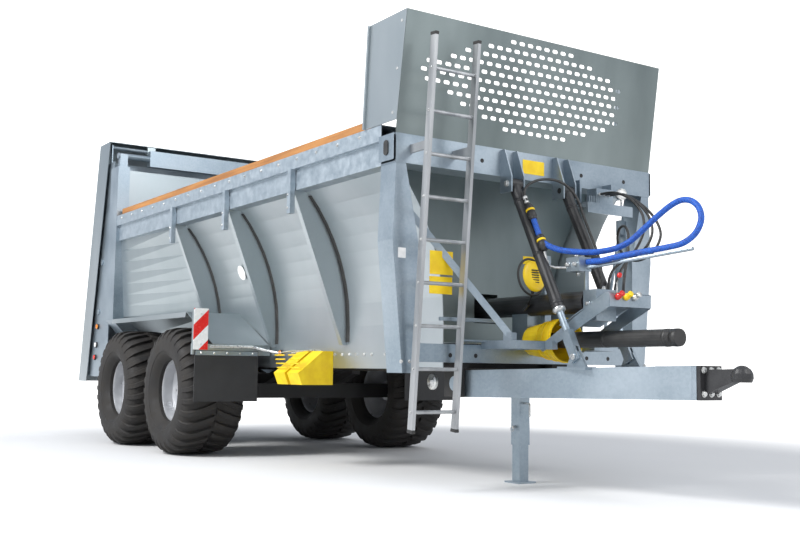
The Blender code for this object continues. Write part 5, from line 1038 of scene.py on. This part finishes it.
# %% chock ridges
for name in ("wheel_chock_front", "wheel_chock_rear"):
    low, high = box_of(name)
    parts = []
    for i in range(7):
        share = (i + 0.5) / 7
        z = low.z + 0.02 + (high.z - low.z - 0.04) * share
        y = low.y + (high.y - low.y) * 0.16 * (1 - share) - 0.0015
        length = high.x - low.x
        ridge = [(0, 0.002), (0.003, 0.006), (length - 0.027, 0.006), (length - 0.024, 0.002)]
        parts.append(turned(at(low.x + 0.012, y, z), (1, 0, 0), ridge, 10))
    make_piece(f"{name}_ridges", *joined(parts), YELLOW, "chassis", "yellow_plastic", smooth=True)
    strap = [(low.x - 0.004, y, high.z + up) for y, up in ((-0.702, 0.006), (-0.85, 0.006), (-1.0, -0.02))]
    bar(f"{name}_wire", strap, 0.005, ZINC)
print("chocks: 2")

# %% [markdown]
# A pale tube runs along the front edge of each fender, perhaps to carry a cable, and the flap hangs from a
# strip held by five bolts.

# %% fender details
for name, side in SIDES:
    edge = [(0.735, side * 1.33, 1.035), (0.742, side * 1.20, 1.038), (0.742, side * 0.90, 1.038),
            (0.80, side * 0.80, 1.010), (0.93, side * 0.712, 0.985)]
    bar(f"fender_tube_{name}", edge, 0.014, ZINC)
    spots = [at(0.7402, side * (0.90 + 0.13 * i), 0.975) for i in range(5)]
    bolt_row(f"flap_bolts_{name}", spots, (1, 0, 0), 0.010)
    flap_front = box_of(f"mud_flap_{name}")[1].x
    strip = [at(flap_front, side * y, z)
             for y, z in ((0.845, 0.955), (1.475, 0.955), (1.475, 0.996), (0.845, 0.996))]
    plate(f"flap_strip_{name}", strip if side > 0 else strip[::-1], 0.003, GALVANISED)
print("fender tubes: 2")

# %% [markdown]
# The rest of the small hardware: bands and an end guard on the drive shaft, rings on the guard bell, end
# plates with a black oval on the beam, a grooved pulley under the front corner that is taken to guide the
# parking brake's cable, and the jack's bolts, pin and handle.

# %% small hardware
SHAFT_Z = 1.072
for i, (x, r) in enumerate(((4.12, 0.0600), (4.50, 0.0592), (5.05, 0.0600))):
    band = [(0, r - 0.003), (0.002, r), (0.030, r), (0.032, r - 0.003)]
    turned_piece(f"shaft_band_{i}", (x, 0, SHAFT_Z), (1, 0, 0), band, BLACK_PLASTIC, "pto_shaft",
                 "black_plastic", 36)
guard = [(-0.03, 0.0582), (0.0, 0.0600), (0.018, 0.0590), (0.0245, 0.052), (0.018, 0.047), (0.010, 0.002)]
turned_piece("shaft_end_guard", (5.145, 0, SHAFT_Z), (1, 0, 0), guard, BLACK_PLASTIC, "pto_shaft",
             "black_plastic", 36)
for i, (d, r) in enumerate(((0.02, 0.1665), (0.10, 0.156), (0.18, 0.144))):
    coil_ring(f"bell_ring_{i}", (4.10 - d, 0, SHAFT_Z), (1, 0, 0), r - 0.004, 0.0045, YELLOW,
              slot="yellow_plastic")
for name, side in SIDES:
    outline = [at(3.534, side * 1.2845, 2.318), at(3.728, side * 1.2845, 2.318),
               at(3.728, side * 1.2845, 2.508), at(3.534, side * 1.2845, 2.508)]
    plate(f"beam_end_{name}", outline if side < 0 else outline[::-1], 0.004, GALVANISED)
    # A black oval on each end plate.
    label(f"beam_end_black_oval_{name}", (3.635, side * 1.290, 2.412), (-side, 0, 0), (0, 0, 1), 0.028, 0.055,
          0.027, 0.006, BLACK_PLASTIC, "chassis", "black_plastic")
PULLEY = (3.20, -0.5425, 0.753)
groove = [(0.0, 0.012), (0.002, 0.056), (0.005, 0.060), (0.008, 0.056), (0.011, 0.046), (0.016, 0.046),
          (0.019, 0.056), (0.022, 0.060), (0.025, 0.056), (0.027, 0.020), (0.034, 0.018), (0.036, 0.002)]
turned_piece("brake_pulley", PULLEY, (0, -1, 0), groove, ZINC, sides=40)
bolt_row("jack_bolts", [at(x, y, 0.6605) for x in (3.495, 3.665) for y in (-0.072, 0.072)], (0, 0, -1), 0.009)
bar("jack_pin", [(3.58, -0.078, 0.42), (3.58, -0.050, 0.42)], 0.011, ZINC)
coil_ring("jack_pin_ring", (3.58, -0.080, 0.404), (1, 0, 0), 0.016, 0.0025, ZINC)
bar("jack_handle", [(3.632, 0.0, 0.60), (3.68, 0.0, 0.60), (3.69, 0.0, 0.59), (3.69, 0.0, 0.50)], 0.008, ZINC)
print("small hardware made")

# %% [markdown]
# The three ribs on each side are folded sheets that overlap the wall. A dark strip of painted shadow runs
# along their front edge, where the rib's overhang shades the wall. To lay that strip exactly where rib meets
# wall, rays are cast at the side from outside: going forward along the wall, the edge is where the hit jumps
# inward.

# %% painted shadow strips beside the ribs
SHADOW_STRIP_FOOT_Z = 1.07
SHADOW_STRIP_STEP = 0.0465
SHADOW_STRIP_POINTS = 27
SCAN_BACK, SCAN_REACH = 0.03, 0.30
SCAN_STEP = 0.004
RIB_JUMP = 0.004


def side_hit(tree, side, x, z):
    hit = tree.ray_cast(at(x, side * 2.0, z), Vector((0, -side, 0)))[0]
    return abs(hit.y) if hit else 0.0


def rib_edge(tree, side, rib_x, z):
    """Where the hit jumps inward ahead of a rib at this height, or None."""
    x = rib_x - SCAN_BACK
    here = side_hit(tree, side, x, z)
    while x < rib_x + SCAN_REACH:
        ahead = side_hit(tree, side, x + SCAN_STEP, z)
        if here - ahead > RIB_JUMP:
            return x
        here = ahead
        x += SCAN_STEP
    return None


for name, side in SIDES:
    wall = nodes[f"hopper_side_{name}"]
    shape = bmesh.new()
    shape.from_mesh(wall.data)
    shape.transform(wall.matrix_world)
    tree = BVHTree.FromBMesh(shape)
    shape.free()
    for i, rib_x in enumerate(RIB_PLACES):
        rings = []
        for step in range(SHADOW_STRIP_POINTS):
            z = SHADOW_STRIP_FOOT_Z + step * SHADOW_STRIP_STEP
            x = rib_edge(tree, side, rib_x, z)
            if x is None:
                continue
            foot = side_hit(tree, side, x + 0.03, z)
            rings.append([at(x + ahead, side * (foot + out), z)
                          for ahead, out in ((0.002, -0.004), (0.040, -0.004), (0.030, 0.008), (0.002, 0.014))])
        if len(rings) > 2:
            # Painted shadow: a black strip laid on the wall where the rib's overhang shades it.
            make_piece(f"rib_shadow_strip_{name}_{i}", *loft_mesh(rings), BLACK_PLASTIC, "chassis", "black_plastic")
            print("seal", name, i, "points:", len(rings))

# %% [markdown]
# The floor is one pale sheet with a faint pattern, wide enough that its edge never shows. It fades to plain
# white a few metres out, so that no horizon is seen. It carries only the machine's shadow, which is what
# makes the tyres stand on something.

# %% floor
FLOOR_HALF = 60.0
FADE_START, FADE_END = 4.5, 9.0
WHITE_GLOW = 1.6
FLOOR = surface("studio_floor", (0.70, 0.70, 0.70), (0.74, 0.74, 0.74), (0.75, 0.90), 0.0, 2.5)
tree = FLOOR.node_tree
reach = add_node(tree, "VectorMath", operation="LENGTH")
link(tree, tree.nodes["Texture Coordinate"], "Object", reach, 0)
fade = add_node(tree, "MapRange", {"From Min": FADE_START, "From Max": FADE_END},
                interpolation_type="SMOOTHSTEP")
link(tree, reach, "Value", fade, "Value")
bright = add_node(tree, "Emission", {"Strength": WHITE_GLOW})
mix = add_node(tree, "MixShader")
link(tree, fade, "Result", mix, "Fac")
link(tree, tree.nodes["Principled BSDF"], "BSDF", mix, 1)
link(tree, bright, "Emission", mix, 2)
link(tree, mix, "Shader", tree.nodes["Material Output"], "Surface")
floor = make_piece("floor", [(-FLOOR_HALF, -FLOOR_HALF, 0), (FLOOR_HALF, -FLOOR_HALF, 0),
                             (FLOOR_HALF, FLOOR_HALF, 0), (-FLOOR_HALF, FLOOR_HALF, 0)], [(0, 1, 2, 3)],
                   FLOOR, body=None)

# %% [markdown]
# The light is a bright sky that changes with height: darker below, pale at the horizon, bluish and then white
# above. The camera itself sees plain white behind the machine. One large soft lamp stands high on the right
# for shape, and a weaker one ahead and a little to the left keeps the front from going dark. Large lamps give
# the long soft gradients that make zinc look like metal.

# %% light
# Height on the sky, from below (0) over the horizon (0.5) to straight up (1), and its colour.
SKY_STEPS = (
    (0.00, (0.16, 0.17, 0.18)), (0.44, (0.24, 0.25, 0.26)), (0.50, (0.85, 0.87, 0.90)),
    (0.62, (0.62, 0.70, 0.82)), (0.80, (1.00, 1.00, 1.00)), (1.00, (0.75, 0.82, 0.95)),
)
world = bpy.data.worlds.new("sky")
world.use_nodes = True
tree = world.node_tree
direction = add_node(tree, "TexCoord")
split = add_node(tree, "SeparateXYZ")
link(tree, direction, "Generated", split, "Vector")
height = add_node(tree, "MapRange", {"From Min": -1.0})
link(tree, split, "Z", height, "Value")
ramp = add_node(tree, "ValToRGB")
ramp.color_ramp.elements.remove(ramp.color_ramp.elements[1])
for place, colour in SKY_STEPS:
    step = ramp.color_ramp.elements.new(place) if place else ramp.color_ramp.elements[0]
    step.color = (*colour, 1)
link(tree, height, "Result", ramp, "Fac")
sky = tree.nodes["Background"]
sky.inputs["Strength"].default_value = 0.85
link(tree, ramp, "Color", sky, "Color")
backdrop = add_node(tree, "Background", {"Color": (1, 1, 1, 1), "Strength": WHITE_GLOW})
who = add_node(tree, "LightPath")
choose = add_node(tree, "MixShader")
link(tree, who, "Is Camera Ray", choose, "Fac")
link(tree, sky, "Background", choose, 1)
link(tree, backdrop, "Background", choose, 2)
link(tree, choose, "Shader", tree.nodes["World Output"], "Surface")
bpy.context.scene.world = world


def soft_lamp(name, place, aim, size, power):
    data = bpy.data.lights.new(name, "AREA")
    data.shape = "DISK"
    data.size = size
    data.energy = power
    lamp = bpy.data.objects.new(name, data)
    bpy.context.scene.collection.objects.link(lamp)
    lamp.location = place
    lamp.rotation_euler = (Vector(aim) - Vector(place)).to_track_quat("-Z", "Y").to_euler()
    return lamp


soft_lamp("key", (0.5, -11.0, 10.0), (0, 0, 1.5), 5.0, 2100)
soft_lamp("fill", (11.0, 3.0, 8.0), (1, 0, 1.5), 5.0, 420)
bpy.context.scene.view_settings.view_transform = "Standard"
print("lamps: 2")
